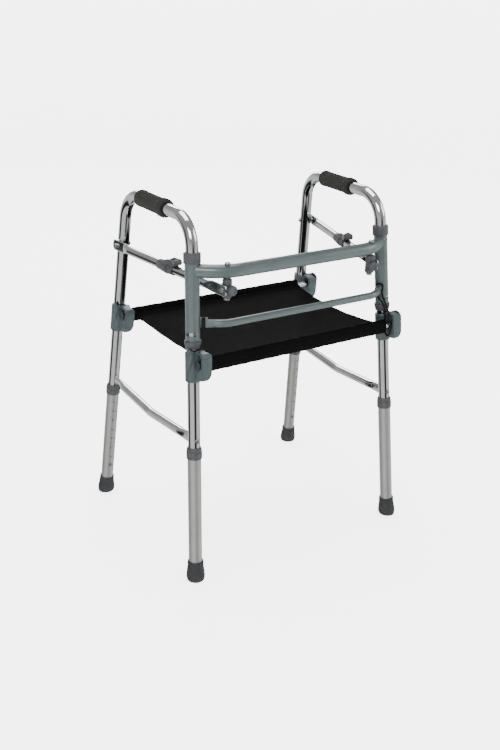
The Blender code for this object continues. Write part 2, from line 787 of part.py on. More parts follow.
def make_brace_bolt(side_name, parent):
    """The bolt through the rear leg that carries the brace, with its heads and spacer."""
    place = brace_bolt_frame(SIDES[side_name])
    inner = -(TUBE_RADIUS + GAP)
    spacer = TUBE_RADIUS + BRACE_OFFSET - GAP
    outer = TUBE_RADIUS + BRACE_OFFSET + BRACE_FLAT + GAP
    head = 0.0058
    profile = [
        (0, outer + 0.0060),
        (0.0030, outer + 0.0060),
        (0.0050, outer + 0.0044),
        (head, outer),
        (BOLT_RADIUS, outer),
        (BOLT_RADIUS, spacer),
        (head, spacer),
        (head, TUBE_RADIUS + GAP),
        (BOLT_RADIUS, TUBE_RADIUS + GAP),
        (BOLT_RADIUS, inner),
        (head, inner),
        (0.0050, inner - 0.0036),
        (0, inner - 0.0044),
    ]
    bolt = turned(profile, place, 12)
    return finish(bolt, f"brace_bolt_{side_name}", ZINC, parent)


def brace_plane(side, along=0.0, up=0.0):
    """In the brace's side view: x along it, y up, z across it, inboard on the right side."""
    place, _ = brace_frame(side)
    turn = Matrix(((1, 0, 0), (0, 0, -1), (0, 1, 0))).to_4x4()
    return place @ Matrix.Translation((along, 0, up)) @ turn


def brace_axis(side, along):
    """On the brace's middle line, with z running along the brace."""
    place, _ = brace_frame(side)
    turn = Matrix(((0, 0, 1), (0, 1, 0), (-1, 0, 0))).to_4x4()
    return place @ Matrix.Translation((along, 0, 0)) @ turn


def pressed_bar(side, start, stop, flats):
    """A straight round bar of the brace, one end of it pressed flat."""
    place, _ = brace_frame(side)
    flat = (BRACE_FLAT / 2, BRACE_FLAT_HEIGHT / 2)
    blunt = (BRACE_FLAT / 2, BRACE_FLAT_HEIGHT / 2 - 0.004)
    rounded = (BRACE_RADIUS, BRACE_RADIUS)
    stations = [(0, blunt), (0.003, flat), (BRACE_FLAT_LENGTH, flat)]
    stations += [(BRACE_FLAT_LENGTH + BRACE_TAPER, rounded), (stop - start, rounded)]
    if flats == "front":
        stations = [(stop - start - along, section) for along, section in reversed(stations)]
    path = [place @ Vector((start + along, 0, 0)) for along, _ in stations]
    sections = [section for _, section in stations]
    return flattened_bar(path, sections, place.to_3x3().col[1])


def make_rear_link(side_name, parent):
    """The rear half of a folding brace, pressed flat where it is bolted to the leg."""
    side = SIDES[side_name]
    link = pressed_bar(side, -BRACE_FLAT_HEIGHT / 2, SPLIT_ALONG - GAP, "rear")
    hole = rod(BOLT_RADIUS + GAP, -0.02, 0.02, brace_plane(side), 12)
    boolean(link, as_cutter(hole, f"rear_pin_hole_{side_name}"))
    return finish(link, f"brace_rear_link_{side_name}", BRIGHT, parent)


def make_front_link(side_name, parent):
    """The front half of a folding brace, with the rivet head on its flat end."""
    side = SIDES[side_name]
    _, length = brace_frame(side)
    link = pressed_bar(side, SPLIT_ALONG + GAP, length + BRACE_FLAT_HEIGHT / 2, "front")
    outside = -side * (BRACE_FLAT / 2 + 0.0022)
    head = rod(0.0055, 0, outside, brace_plane(side, length), 12)
    boolean(link, as_cutter(head, f"rivet_head_{side_name}"), "UNION")
    return finish(link, f"brace_front_link_{side_name}", BRIGHT, parent)


def make_rear_knuckle(side_name, parent):
    """The plastic collar on the rear half, with the two cheeks that hold the knuckle pin."""
    side = SIDES[side_name]
    collar = rod(KNUCKLE_RADIUS, -COLLAR_LENGTH, 0, brace_axis(side, SPLIT_ALONG))
    foot = SPLIT_ALONG - GAP
    eye = (PIN_ALONG, PIN_RISE)
    outline = [(foot - 0.016, 0.006), (foot, 0.006), (foot, PIN_RISE - EAR_RADIUS)]
    outline += arc(eye, EAR_RADIUS, -90, 90, 8)
    outline += [(foot - 0.008, PIN_RISE + EAR_RADIUS - 0.001), (foot - 0.016, PIN_RISE - 0.004)]
    across = EAR_HALF_WIDTH + CHEEK_GAP + CHEEK_THICKNESS / 2
    for name, shift in (("inner", -across), ("outer", across)):
        place = brace_plane(side) @ Matrix.Translation((0, 0, shift))
        cheek = extruded(outline, CHEEK_THICKNESS / 2, place)
        boolean(collar, as_cutter(cheek, f"{name}_cheek_{side_name}"), "UNION")
    bore = rod(BRACE_RADIUS + GAP, -0.06, 0.01, brace_axis(side, SPLIT_ALONG))
    boolean(collar, as_cutter(bore, f"rear_knuckle_bore_{side_name}"))
    eyelet = rod(BOLT_RADIUS + GAP, -0.02, 0.02, brace_plane(side, *eye), 12)
    boolean(collar, as_cutter(eyelet, f"rear_knuckle_eye_{side_name}"))
    return finish(collar, f"knuckle_rear_{side_name}", GREY_PLASTIC, parent)


def make_front_knuckle(side_name, parent):
    """The plastic sleeve on the front half, whose ear turns on the pin between the cheeks."""
    side = SIDES[side_name]
    start = SPLIT_ALONG + KNUCKLE_GAP
    sleeve = rod(KNUCKLE_RADIUS - 0.0015, 0, COLLAR_LENGTH, brace_axis(side, start))
    eye = (PIN_ALONG, PIN_RISE)
    spread = EAR_RADIUS + 0.0035
    outline = [(PIN_ALONG - spread, 0.0041), (PIN_ALONG + spread, 0.0041)]
    outline += arc(eye, EAR_RADIUS, 0, 180, 8)
    ear = extruded(outline, EAR_HALF_WIDTH, brace_plane(side))
    boolean(sleeve, as_cutter(ear, f"knuckle_ear_{side_name}"), "UNION")
    bore = rod(BRACE_RADIUS + GAP, -0.01, 0.06, brace_axis(side, start))
    boolean(sleeve, as_cutter(bore, f"front_knuckle_bore_{side_name}"))
    eyelet = rod(BOLT_RADIUS + GAP, -0.02, 0.02, brace_plane(side, *eye), 12)
    boolean(sleeve, as_cutter(eyelet, f"front_knuckle_eye_{side_name}"))
    return finish(sleeve, f"knuckle_front_{side_name}", GREY_PLASTIC, parent)


def make_knuckle_pin(side_name, parent):
    """The hollow pin that the knuckle turns on, rolled over at both ends."""
    side = SIDES[side_name]
    reach = EAR_HALF_WIDTH + CHEEK_GAP + CHEEK_THICKNESS + GAP
    lip = reach + 0.0010
    bore = BOLT_RADIUS - 0.0011
    profile = [
        (bore, lip),
        (0.0046, lip),
        (0.0050, reach),
        (BOLT_RADIUS, reach),
        (BOLT_RADIUS, -reach),
        (0.0050, -reach),
        (0.0046, -lip),
        (bore, -lip),
    ]
    pin = turned(profile, brace_plane(side, PIN_ALONG, PIN_RISE), 12, closed=True)
    return finish(pin, f"knuckle_pin_{side_name}", ZINC, parent)


def swivel_frame(side):
    """On the swivel's vertical axis, with -y along the brace and x across it."""
    place, _ = brace_frame(side)
    along = place.to_3x3().col[0]
    flat = Vector((along.x, along.y, 0)).normalized()
    return frame(Vector((side * SWIVEL_X, SWIVEL_Y, SWIVEL_Z)), Vector((0, 0, 1)), flat)


def make_swivel_bracket(side_name, parent):
    """The block that hangs under the upper crossbar and turns with the front of the brace."""
    side = SIDES[side_name]
    place = swivel_frame(side)
    under_bar = UPPER_BAR_HEIGHT - UPPER_BAR_RADIUS - SWIVEL_Z - 2 * GAP
    low = -BLOCK_HEIGHT / 2
    profile = [
        (0, under_bar),
        (BLOCK_RADIUS - 0.0015, under_bar),
        (BLOCK_RADIUS, under_bar - 0.0015),
        (BLOCK_RADIUS, low + 0.0015),
        (BLOCK_RADIUS - 0.0015, low),
        (0, low),
    ]
    block = turned(profile, place)
    pad_middle = (side * BLOCK_WIDTH / 4, 0, 0)
    pad = box((BLOCK_WIDTH / 2, PAD_DEPTH, BRACE_FLAT_HEIGHT), pad_middle, place, 0.0010)
    boolean(block, as_cutter(pad, f"swivel_pad_{side_name}"), "UNION")
    forward = place @ Matrix(((1, 0, 0), (0, 0, -1), (0, 1, 0))).to_4x4()
    profile = [
        (0, BOSS_REACH),
        (BOSS_RADIUS - 0.0020, BOSS_REACH),
        (BOSS_RADIUS, BOSS_REACH - 0.0015),
        (BOSS_RADIUS, 0.0005),
        (0, 0.0005),
    ]
    boss = turned(profile, forward)
    boolean(block, as_cutter(boss, f"swivel_boss_{side_name}"), "UNION")
    hole = rod(BOLT_RADIUS + GAP, -0.05, 0.05, place, 12)
    boolean(block, as_cutter(hole, f"swivel_hole_{side_name}"))
    return finish(block, f"swivel_bracket_{side_name}", GREY_PLASTIC, parent)


def make_swivel_bolt(side_name):
    """The bolt down through the upper crossbar that the bracket turns on."""
    side = SIDES[side_name]
    place = Matrix.Translation((side * SWIVEL_X, SWIVEL_Y, 0))
    top = UPPER_BAR_HEIGHT + UPPER_BAR_RADIUS + GAP
    bottom = SWIVEL_Z - BLOCK_HEIGHT / 2 - GAP
    head = 0.0060
    profile = [
        (0, top + 0.0052),
        (head - 0.0022, top + 0.0048),
        (head, top + 0.0026),
        (head, top),
        (BOLT_RADIUS, top),
        (BOLT_RADIUS, bottom),
        (head, bottom),
        (head, bottom - 0.0045),
        (0, bottom - 0.0045),
    ]
    return finish(turned(profile, place, 12), f"swivel_bolt_{side_name}", ZINC)


def rod_in_clip(side, end):
    """Where a seat rod's middle line crosses a clip, in the clip's own directions."""
    axes = leg_frame(side, end, CLIP_BOTTOM).to_3x3()
    lift = (ROD_HEIGHT - CLIP_BOTTOM - axes.col[1].z * ROD_Y) / axes.col[2].z
    return Vector((0, ROD_Y, lift))


def rod_line(end):
    """The depth and height of a seat rod."""
    place = leg_frame(1, end, CLIP_BOTTOM) @ rod_in_clip(1, end)
    return place.y, place.z


def hook_span(side, end):
    """The left and right faces of a hook, in the frame's x."""
    middle = leg_point(side, end, ROD_HEIGHT).x
    return middle + HOOK_LEFT, middle + HOOK_LEFT + HOOK_WIDTH


def face_plane(place):
    """In a clip's front view: x to the right, y up the leg, z to the front."""
    return place @ Matrix(((1, 0, 0), (0, 0, -1), (0, 1, 0))).to_4x4()


def side_plane(place):
    """In a clip's side view: x to the front, y up the leg, z to the left."""
    return place @ Matrix(((0, 0, -1), (-1, 0, 0), (0, 1, 0))).to_4x4()


def latch_pin_frame(place):
    return place @ Matrix.Translation((0, LATCH_PIN_Y, LATCH_PIN_Z)) @ Matrix.Rotation(pi / 2, 4, "Y")


def make_clip(side_name, end_name, parent):
    """The clip clamped on a leg: its sleeve, the open hook for the seat rod and the latch's lug."""
    side = SIDES[side_name]
    end = ENDS[end_name]
    name = leg_piece("seat_clip", end_name, side_name)
    place = leg_frame(side, end, CLIP_BOTTOM)
    eased = 0.0012
    profile = [
        (0, CLIP_HEIGHT),
        (CLIP_RADIUS - eased, CLIP_HEIGHT),
        (CLIP_RADIUS, CLIP_HEIGHT - eased),
        (CLIP_RADIUS, eased),
        (CLIP_RADIUS - eased, 0),
        (0, 0),
    ]
    clip = turned(profile, place)
    right = HOOK_LEFT + HOOK_WIDTH
    outline = arc((HOOK_LEFT + 0.003, HOOK_LOW + 0.003), 0.003, 180, 270, 3)
    outline += arc((right - HOOK_CORNER, HOOK_LOW + HOOK_CORNER), HOOK_CORNER, 270, 360, 6)
    outline += [(right, HOOK_HIGH), (HOOK_LEFT, HOOK_HIGH)]
    back = -0.006
    middle = Matrix.Translation((0, 0, -(HOOK_FRONT + back) / 2))
    hook = extruded(outline, (back - HOOK_FRONT) / 2, face_plane(place) @ middle)
    boolean(clip, as_cutter(hook, f"hook_{name}"), "UNION")
    lug_middle = (LUG_X, LATCH_PIN_Y + 0.001, (HOOK_HIGH + LATCH_PIN_Z) / 2 - 0.002)
    lug_size = (LATCH_LUG_WIDTH, 2 * LATCH_LUG_RADIUS - 0.002, LATCH_PIN_Z - HOOK_HIGH + 0.006)
    boolean(clip, as_cutter(box(lug_size, lug_middle, place), f"lug_foot_{name}"), "UNION")
    wall_top = HOOK_HIGH + HOOK_RISER
    wall_depth = back - (ROD_Y + ROD_RADIUS + ROD_SLOT_GAP)
    wall_middle = ((HOOK_LEFT + right) / 2, back - wall_depth / 2, wall_top - 0.005)
    wall = box((HOOK_WIDTH, wall_depth, 0.010), wall_middle, place)
    boolean(clip, as_cutter(wall, f"rear_wall_{name}"), "UNION")
    pin_place = latch_pin_frame(place)
    half = LATCH_LUG_WIDTH / 2
    eye = rod(LATCH_LUG_RADIUS, LUG_X - half, LUG_X + half, pin_place, 12)
    boolean(clip, as_cutter(eye, f"lug_eye_{name}"), "UNION")
    seat = rod_in_clip(side, end)
    width = ROD_RADIUS + ROD_SLOT_GAP
    mouth = CLIP_HEIGHT + 0.02
    slot_outline = arc((-ROD_Y, seat.z), width, 180, 360, 8)
    wide = width + SLOT_FLARE * (mouth - seat.z) / (HOOK_HIGH - seat.z)
    slot_outline += [(-ROD_Y + wide, mouth), (-ROD_Y - wide, mouth)]
    slot = extruded(slot_outline, 0.04, side_plane(place))
    boolean(clip, as_cutter(slot, f"slot_{name}"))
    bore = rod(TUBE_RADIUS + GAP, -0.01, CLIP_HEIGHT + 0.02, place)
    boolean(clip, as_cutter(bore, f"bore_{name}"))
    pin_hole = rod(LATCH_PIN_RADIUS + GAP, -0.03, 0.03, pin_place, 12)
    boolean(clip, as_cutter(pin_hole, f"pin_hole_{name}"))
    return finish(clip, name, CLIP_PLASTIC, parent)


def leaf_outline(width, low, high):
    """A leaf, pointed at the bottom and round at the top, widest at seven tenths of its height."""
    steps = 10
    right = []
    for i in range(steps + 1):
        share = i / steps
        above = max(0.0, (share - 0.7) / 0.3)
        half = 0.5 * width * min(1.0, share / 0.7) ** 0.8 * max(0.0, 1 - above * above) ** 0.5
        right.append((half, low + (high - low) * share))
    return right + [(-half, z) for half, z in reversed(right[1:-1])]


def make_latch(side_name, end_name, parent):
    """The latch over a hook's mouth: its cap, its pin and the thumb paddle on the outer side."""
    side = SIDES[side_name]
    end = ENDS[end_name]
    name = leg_piece("seat_latch", end_name, side_name)
    place = leg_frame(side, end, CLIP_BOTTOM)
    right = HOOK_LEFT + HOOK_WIDTH
    low = HOOK_HIGH + GAP
    high = low + LATCH_HEIGHT
    outline = [(HOOK_LEFT, low), (right, low)]
    outline += arc((right - 0.0075, high - 0.0075), 0.0075, 0, 90, 5)
    outline += arc((HOOK_LEFT + 0.002, high - 0.002), 0.002, 90, 180, 2)
    back = LATCH_PIN_Y - 0.0002
    middle = Matrix.Translation((0, 0, -(HOOK_FRONT + back) / 2))
    cap = extruded(outline, (back - HOOK_FRONT) / 2, face_plane(place) @ middle)
    notch_size = (LATCH_LUG_WIDTH + 0.0012, 2 * LATCH_LUG_RADIUS + 0.0012, 0.03)
    notch = box(notch_size, (LUG_X, LATCH_PIN_Y, LATCH_PIN_Z), place)
    boolean(cap, as_cutter(notch, f"notch_{name}"))
    arch_front = HOOK_FRONT + HOOK_WALL
    arch_depth = 0.010 - arch_front
    arch_middle = (0, 0.010 - arch_depth / 2, HOOK_HIGH + HOOK_RISER + GAP - 0.010)
    arch = box((0.1, arch_depth, 0.020), arch_middle, place)
    boolean(cap, as_cutter(arch, f"arch_{name}"))
    pin_place = latch_pin_frame(place)
    if side < 0:
        pin_ends = (-PADDLE_RADIUS * 0.72, right - 0.001)
        ring = ring_profile(PADDLE_RADIUS, PADDLE_RADIUS - PADDLE_THICKNESS, 0.02, 0.08, 0.0004)
        paddle = turned(ring, place, 32, closed=True)
        outward = Matrix.Rotation(radians(PADDLE_TURN - 270), 4, "Z")
        leaf_place = face_plane(place @ outward) @ Matrix.Translation((0, 0, 0.02))
        leaf = leaf_outline(PADDLE_WIDTH, PADDLE_LOW, PADDLE_LOW + PADDLE_LENGTH)
        cut = extruded(leaf, 0.01, leaf_place)
        keep = as_cutter(cut, f"leaf_{name}")
        boolean(paddle, keep, "INTERSECT")
    else:
        pin_ends = (HOOK_LEFT + 0.001, right + 0.0085)
        leaf = leaf_outline(PADDLE_WIDTH, PADDLE_LOW, PADDLE_LOW + PADDLE_LENGTH)
        shift = Matrix.Translation((-LATCH_PIN_Y + 0.001, 0, -(right + 0.0085)))
        paddle = extruded(leaf, PADDLE_THICKNESS / 2, side_plane(place) @ shift)
    pin = rod(LATCH_PIN_RADIUS, *pin_ends, pin_place, 12)
    boolean(cap, as_cutter(pin, f"pin_{name}"), "UNION")
    boolean(cap, as_cutter(paddle, f"paddle_{name}"), "UNION")
    return finish(cap, name, CLIP_PLASTIC, parent)


def make_rod(end_name, parent):
    """A seat rod across the walker, with a plug pressed on each end."""
    end = ENDS[end_name]
    y, z = rod_line(end)
    left = hook_span(-1, end)[0] - ROD_END_GAP
    right = hook_span(1, end)[1] + ROD_END_GAP
    place = Matrix.Translation((0, y, z)) @ Matrix.Rotation(pi / 2, 4, "Y")
    profile = [
        (0, right + ROD_CAP_LENGTH),
        (ROD_CAP_RADIUS - 0.0015, right + ROD_CAP_LENGTH),
        (ROD_CAP_RADIUS, right + ROD_CAP_LENGTH - 0.0015),
        (ROD_CAP_RADIUS, right),
        (ROD_RADIUS, right),
        (ROD_RADIUS, left),
        (ROD_CAP_RADIUS, left),
        (ROD_CAP_RADIUS, left - ROD_CAP_LENGTH + 0.0015),
        (ROD_CAP_RADIUS - 0.0015, left - ROD_CAP_LENGTH),
        (0, left - ROD_CAP_LENGTH),
    ]
    return finish(turned(profile, place, 16), f"seat_rod_{end_name}", BRIGHT, parent)


def hem_outline(y, z, start, stop):
    """An oval hem round a rod, from one angle to another in degrees, in steps of 20 or so."""
    steps = round(abs(stop - start) / 20)
    angles = [radians(start + (stop - start) * i / steps) for i in range(steps + 1)]
    return [(y + HEM_HALF_DEPTH * cos(a), z + HEM_HALF_HEIGHT * sin(a)) for a in angles]


def cloth_right():
    """The right-hand end of the front hem."""
    return hook_span(-1, -1)[1] + HEM_END_GAP + CLOTH_WIDTH


def make_seat_cloth(parent):
    """The fabric seat: a hem round each rod and the sagging sheet between, its sides drawn in."""
    front_y, front_z = rod_line(-1)
    rear_y, rear_z = rod_line(1)
    opening = 7
    front = hem_outline(front_y, front_z, HEM_EXIT + opening, 360 + HEM_EXIT - opening)
    rear = hem_outline(rear_y, rear_z, -180 - HEM_EXIT + opening, 180 - HEM_EXIT - opening)
    start = front[-1]
    stop = rear[0]
    steps = 12
    under = []
    for i in range(1, steps):
        share = i / steps
        y = start[0] + (stop[0] - start[0]) * share
        z = start[1] + (stop[1] - start[1]) * share - SEAT_SAG * 4 * share * (1 - share)
        under.append((y, z))
    over = [(y, z + CLOTH_THICKNESS) for y, z in reversed(under)]
    curve = bpy.data.curves.new("cloth", "CURVE")
    curve.dimensions = "2D"
    curve.fill_mode = "BOTH"
    curve.extrude = 0.5
    holes = [arc((y, z), ROD_RADIUS + GAP, 0, 345, 15) for y, z in ((front_y, front_z), (rear_y, rear_z))]
    for outline in [front + under + rear + over] + holes:
        spline = curve.splines.new("POLY")
        spline.points.add(len(outline) - 1)
        for point, (y, z) in zip(spline.points, outline):
            point.co = (y, z, 0, 1)
        spline.use_cyclic_u = True
    across = Matrix(((0, 0, 1), (1, 0, 0), (0, 1, 0))).to_4x4()
    cloth = baked(new_curve_object(curve, across))
    left_front = hook_span(-1, -1)[1] + HEM_END_GAP
    left_rear = hook_span(-1, 1)[1] + HEM_END_GAP
    for vertex in cloth.data.vertices:
        share = (vertex.co.x - front_y) / (rear_y - front_y)
        share = max(0.0, min(1.0, share))
        left = left_front + (left_rear - left_front) * share
        drawn_in = EDGE_DRAW_IN * 4 * share * (1 - share)
        on_right = vertex.co.z > 0
        vertex.co.z = left + CLOTH_WIDTH - drawn_in if on_right else left + drawn_in
    return finish(cloth, "seat_cloth", FABRIC, parent)


def smooth_loop(points, step):
    """Points at about this step on a smooth closed curve through the given ones."""
    count = len(points)
    loop = []
    for i in range(count):
        before, here, after, beyond = (points[(i + k) % count] for k in (-1, 0, 1, 2))
        pieces = max(1, round((after - here).length / step))
        for k in range(pieces):
            t = k / pieces
            a = here * 2
            b = (after - before) * t
            c = (before * 2 - here * 5 + after * 4 - beyond) * t * t
            d = (here * 3 - before - after * 3 + beyond) * t ** 3
            loop.append((a + b + c + d) / 2)
    return loop


def make_tether():
    """The elastic loop that ties the seat's front rod to the lower crossbar's right-hand end."""
    _, along, _ = lower_bar_end(1)
    forward = Vector((along.y, -along.x, 0))
    front_face = (LUG_THICKNESS + BRACE_FLAT) / 2 + GAP + BRACE_FLAT / 2
    back_face = -LUG_THICKNESS / 2
    clear = TETHER_RADIUS + 4 * GAP
    half = (front_face - back_face) / 2 + clear
    over = leg_point(1, -1, LOWER_BAR_HEIGHT) - along * TETHER_ALONG
    over += forward * (front_face + back_face) / 2
    route = []
    for angle in (180, 150, 120, 90, 60, 30, 0):
        a = radians(angle)
        reach = half * abs(cos(a)) ** 0.5 * (-1 if angle > 90 else 1)
        rise = LUG_HEIGHT / 2 + clear - 0.008 * (1 - sin(a) ** 0.5)
        route.append(over + forward * reach + Vector((0, 0, rise)))
    route.append(over + forward * half - Vector((0, 0, LUG_HEIGHT / 2)))
    rod_y, rod_z = rod_line(-1)
    middle = Vector((cloth_right() + TETHER_OFFSET, rod_y, rod_z))
    out = ROD_RADIUS + TETHER_RADIUS + 3 * GAP
    for angle in (165, 195, 225, 255, 285, 315, 345, 375):
        route.append(middle + Vector((0, out * cos(radians(angle)), out * sin(radians(angle)))))
    route.append(over - forward * half - Vector((0, 0, LUG_HEIGHT / 2)))
    tether = swept(smooth_loop(route, 0.015), TETHER_RADIUS, 2, capped=False, closed=True)
    return finish(tether, "elastic_tether", CORD)


def axis_frame(origin, axis):
    """An empty's matrix, whose z is a joint's axis."""
    return frame(origin, axis, Vector((0.3, -0.9, 0.3)))


def build():
    bpy.context.view_layer.update()
    for name in SIDES:
        make_sleeve(name)
        make_sleeve_rings(name)
        make_swivel_bolt(name)
    make_upper_crossbar()
    make_lower_crossbar()
    make_tether()
    middle_y, middle_z = rod_line(-1)
    seat = pivot("seat_lift", axis_frame(Vector((0, middle_y, middle_z)), Vector((0, 0, 1))))
    make_rod("front", seat)
    make_rod("rear", seat)
    make_seat_cloth(seat)
    for side_name, side in SIDES.items():
        fold_axis = leg_point(side, -1, 1.0) - leg_point(side, -1, 0.0)
        foot = leg_point(side, -1, 0)
        fold = pivot(f"fold_{side_name}", axis_frame(foot, fold_axis * side))
        make_side_tube(side_name, fold)
        make_grip(side_name, fold)
        make_side_brace(side_name, fold)
        make_brace_bolt(side_name, fold)
        place, _ = brace_frame(side)
        across = place.to_3x3().col[1]
        swivel_axis = Vector((0, 0, 1))
        swivel = pivot(f"swivel_{side_name}", axis_frame(swivel_frame(side).translation, swivel_axis))
        make_swivel_bracket(side_name, swivel)
        rear = pivot(f"rear_link_{side_name}", axis_frame(place.translation, across), fold)
        make_rear_link(side_name, rear)
        make_rear_knuckle(side_name, rear)
        make_knuckle_pin(side_name, rear)
        eye = place @ Vector((PIN_ALONG, 0, PIN_RISE))
        front = pivot(f"front_link_{side_name}", axis_frame(eye, across), rear)
        make_front_link(side_name, front)
        make_front_knuckle(side_name, front)
        for end_name, end in ENDS.items():
            leg = leg_frame(side, end, 0)
            down = -leg.to_3x3().col[2]
            slide_name = leg_piece("leg_slide", end_name, side_name)
            slide = pivot(slide_name, axis_frame(leg.translation, down), fold)
            make_lower_leg(side_name, end_name, slide)
            make_collar(side_name, end_name, slide)
            make_tip(side_name, end_name, slide)
            button = button_frame(side, end, Vector((0, -end, 0)))
            inward = -button.to_3x3().col[2]
            press_name = leg_piece("button_press", end_name, side_name)
            press = pivot(press_name, axis_frame(button.translation, inward), fold)
            make_button(side_name, end_name, press)
            make_clip(side_name, end_name, fold)
            clip = leg_frame(side, end, CLIP_BOTTOM)
            hinge = clip @ Vector((0, LATCH_PIN_Y, LATCH_PIN_Z))
            latch_name = leg_piece("latch_hinge", end_name, side_name)
            latch = pivot(latch_name, axis_frame(hinge, -clip.to_3x3().col[0]), fold)
            make_latch(side_name, end_name, latch)


build()
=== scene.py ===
"""The looks of a folding walker with a fabric seat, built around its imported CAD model."""
import json
from math import cos, pi, radians, sin, tan

import bmesh
import bpy
import numpy as np
from bpy.props import FloatProperty, FloatVectorProperty, IntProperty, PointerProperty
from mathutils import Matrix

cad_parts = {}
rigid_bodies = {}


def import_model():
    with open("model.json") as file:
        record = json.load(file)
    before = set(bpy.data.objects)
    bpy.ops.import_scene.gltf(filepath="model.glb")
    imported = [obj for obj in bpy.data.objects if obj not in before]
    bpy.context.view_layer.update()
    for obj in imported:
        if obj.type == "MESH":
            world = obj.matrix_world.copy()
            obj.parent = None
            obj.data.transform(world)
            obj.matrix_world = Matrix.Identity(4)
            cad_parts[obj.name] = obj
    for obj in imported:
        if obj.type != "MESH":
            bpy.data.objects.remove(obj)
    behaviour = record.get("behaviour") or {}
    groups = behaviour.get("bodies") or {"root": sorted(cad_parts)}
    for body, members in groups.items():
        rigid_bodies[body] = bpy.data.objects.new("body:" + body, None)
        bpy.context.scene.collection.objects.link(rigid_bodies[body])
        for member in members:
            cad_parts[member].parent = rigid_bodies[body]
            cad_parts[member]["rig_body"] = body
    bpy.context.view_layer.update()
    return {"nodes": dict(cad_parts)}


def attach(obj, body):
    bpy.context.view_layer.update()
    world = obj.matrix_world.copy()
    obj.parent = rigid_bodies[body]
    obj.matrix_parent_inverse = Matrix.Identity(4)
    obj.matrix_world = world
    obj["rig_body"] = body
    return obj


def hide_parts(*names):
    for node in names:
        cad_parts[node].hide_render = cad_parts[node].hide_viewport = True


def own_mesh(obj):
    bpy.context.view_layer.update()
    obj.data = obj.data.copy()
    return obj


bl_info = {
    "name": "Folding walker with seat",
    "version": (1, 0, 0),
    "blender": (4, 5, 0),
    "location": "3D View > Sidebar > Walker",
    "description": "Makes the tubes, mouldings, fabric and studio of a folding walker with a seat",
    "category": "Object",
}

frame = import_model()

SIDES = {"left": -1, "right": 1}
ENDS = {"front": -1, "rear": 1}
LEGS = [(name, side, end_name, end)
        for name, side in SIDES.items() for end_name, end in ENDS.items()]
UP = np.array((0.0, 0.0, 1.0))
GAP = 0.0003               # left between pieces that touch

# Stance of the side frames and of the legs in them
HALF_WIDTH = 0.2712
HALF_DEPTH = 0.2184
SIDE_LEAN = radians(2.37)
TOE_OUT = radians(1.26)
LEG_SLOPE = tan(radians(6.11))

# Tubes, legs and what is on them
HANDLE_HEIGHT = 0.7667
HANDLE_BEND = 0.062
TUBE_END = 0.060
LEG_BORE = 0.0131
LEG_RADIUS = 0.0143
LEG_TOP = 0.2865
LEG_END = 0.010
BUTTON_HEIGHT = 0.0805
HOLE_PATCH = 0.0095        # arc from a height hole's middle to the edge of its patch
COLLAR_RADIUS = 0.0165
COLLAR_BOTTOM = 0.2745
COLLAR_TOP = 0.2990
TIP_HEIGHT = 0.042
TIP_FOOT_RADIUS = 0.0200
TIP_NECK_RADIUS = 0.0172
GRIP_FRONT = -0.0370
GRIP_REAR = 0.0720
GRIP_FLANGE = 0.0200
SIDE_BRACE_RADIUS = 0.0095
SIDE_BRACE_END_Z = 0.3140
SIDE_BRACE_MIDDLE_Z = 0.3000
SIDE_BRACE_BEND = 0.12

# Front frame
SLEEVE_RADIUS = 0.0150
SLEEVE_WALL = 0.0018
SLEEVE_BOTTOM = 0.526
SLEEVE_TOP = 0.681
STOP_HEIGHT = 0.0140       # of the stop slot and its screw, above the sleeve's bottom
STOP_HALF_RISE = 0.0042
FOLD_RANGE = {"left": 80, "right": 50}
RING_RADIUS = 0.0176
UPPER_RING_HEIGHT = 0.0220
LOWER_RING_DROP = 0.0165
UPPER_BAR_HEIGHT = 0.667
UPPER_BAR_RADIUS = 0.0140
UPPER_BAR_Y = -0.1855
UPPER_BAR_HALF_RUN = 0.187
UPPER_BAR_BEND = 0.11
LOWER_BAR_HEIGHT = 0.562
LOWER_BAR_RADIUS = 0.0078
LOWER_BAR_Y = -0.1950
LOWER_BAR_HALF_RUN = 0.188
LOWER_BAR_BEND = 0.05
LOWER_BAR_FLAT = 0.0088    # half the height of its pressed ends
LUG_LENGTH = 0.0160
LUG_THICKNESS = 0.0045
LUG_HEIGHT = 0.0210
BAND_INWARD = 0.0212       # from the leg's axis to the elastic band, and to the tether's bight
TETHER_INWARD = 0.0210

# Folding braces
BRACE_RADIUS = 0.0095
BRACE_FLAT = 0.0046
BRACE_FLAT_HEIGHT = 0.0240
BRACE_FLAT_LENGTH = 0.0360
BRACE_TAPER = 0.0220
BRACE_REAR_Z = 0.6474
BRACE_OFFSET = 0.0024
LEG_TUBE_RADIUS = 0.0127   # that the brace's pivot stands off from
SWIVEL = np.array((0.1816, -0.1845, 0.6310))
BLOCK_WIDTH = 0.0214
BLOCK_RADIUS = 0.0098
BLOCK_HEIGHT = 0.0360
BLOCK_CHAMFER = 0.0018
PAD_DEPTH = 0.0150
BOSS_RADIUS = 0.0105
BOSS_REACH = 0.0200
PIN_ALONG = 0.2000
PIN_RISE = 0.0165
KNUCKLE_RADIUS = 0.0130
PARTING_ALONG = 0.1800     # where the knuckle's halves meet, from the rear pivot
EAR_RADIUS = 0.0065
EAR_HALF_WIDTH = 0.0072
CHEEK_THICKNESS = 0.0030
CHEEK_GAP = 0.0005
BOLT_RADIUS = 0.0032
SOCKET_RADIUS = 0.0020

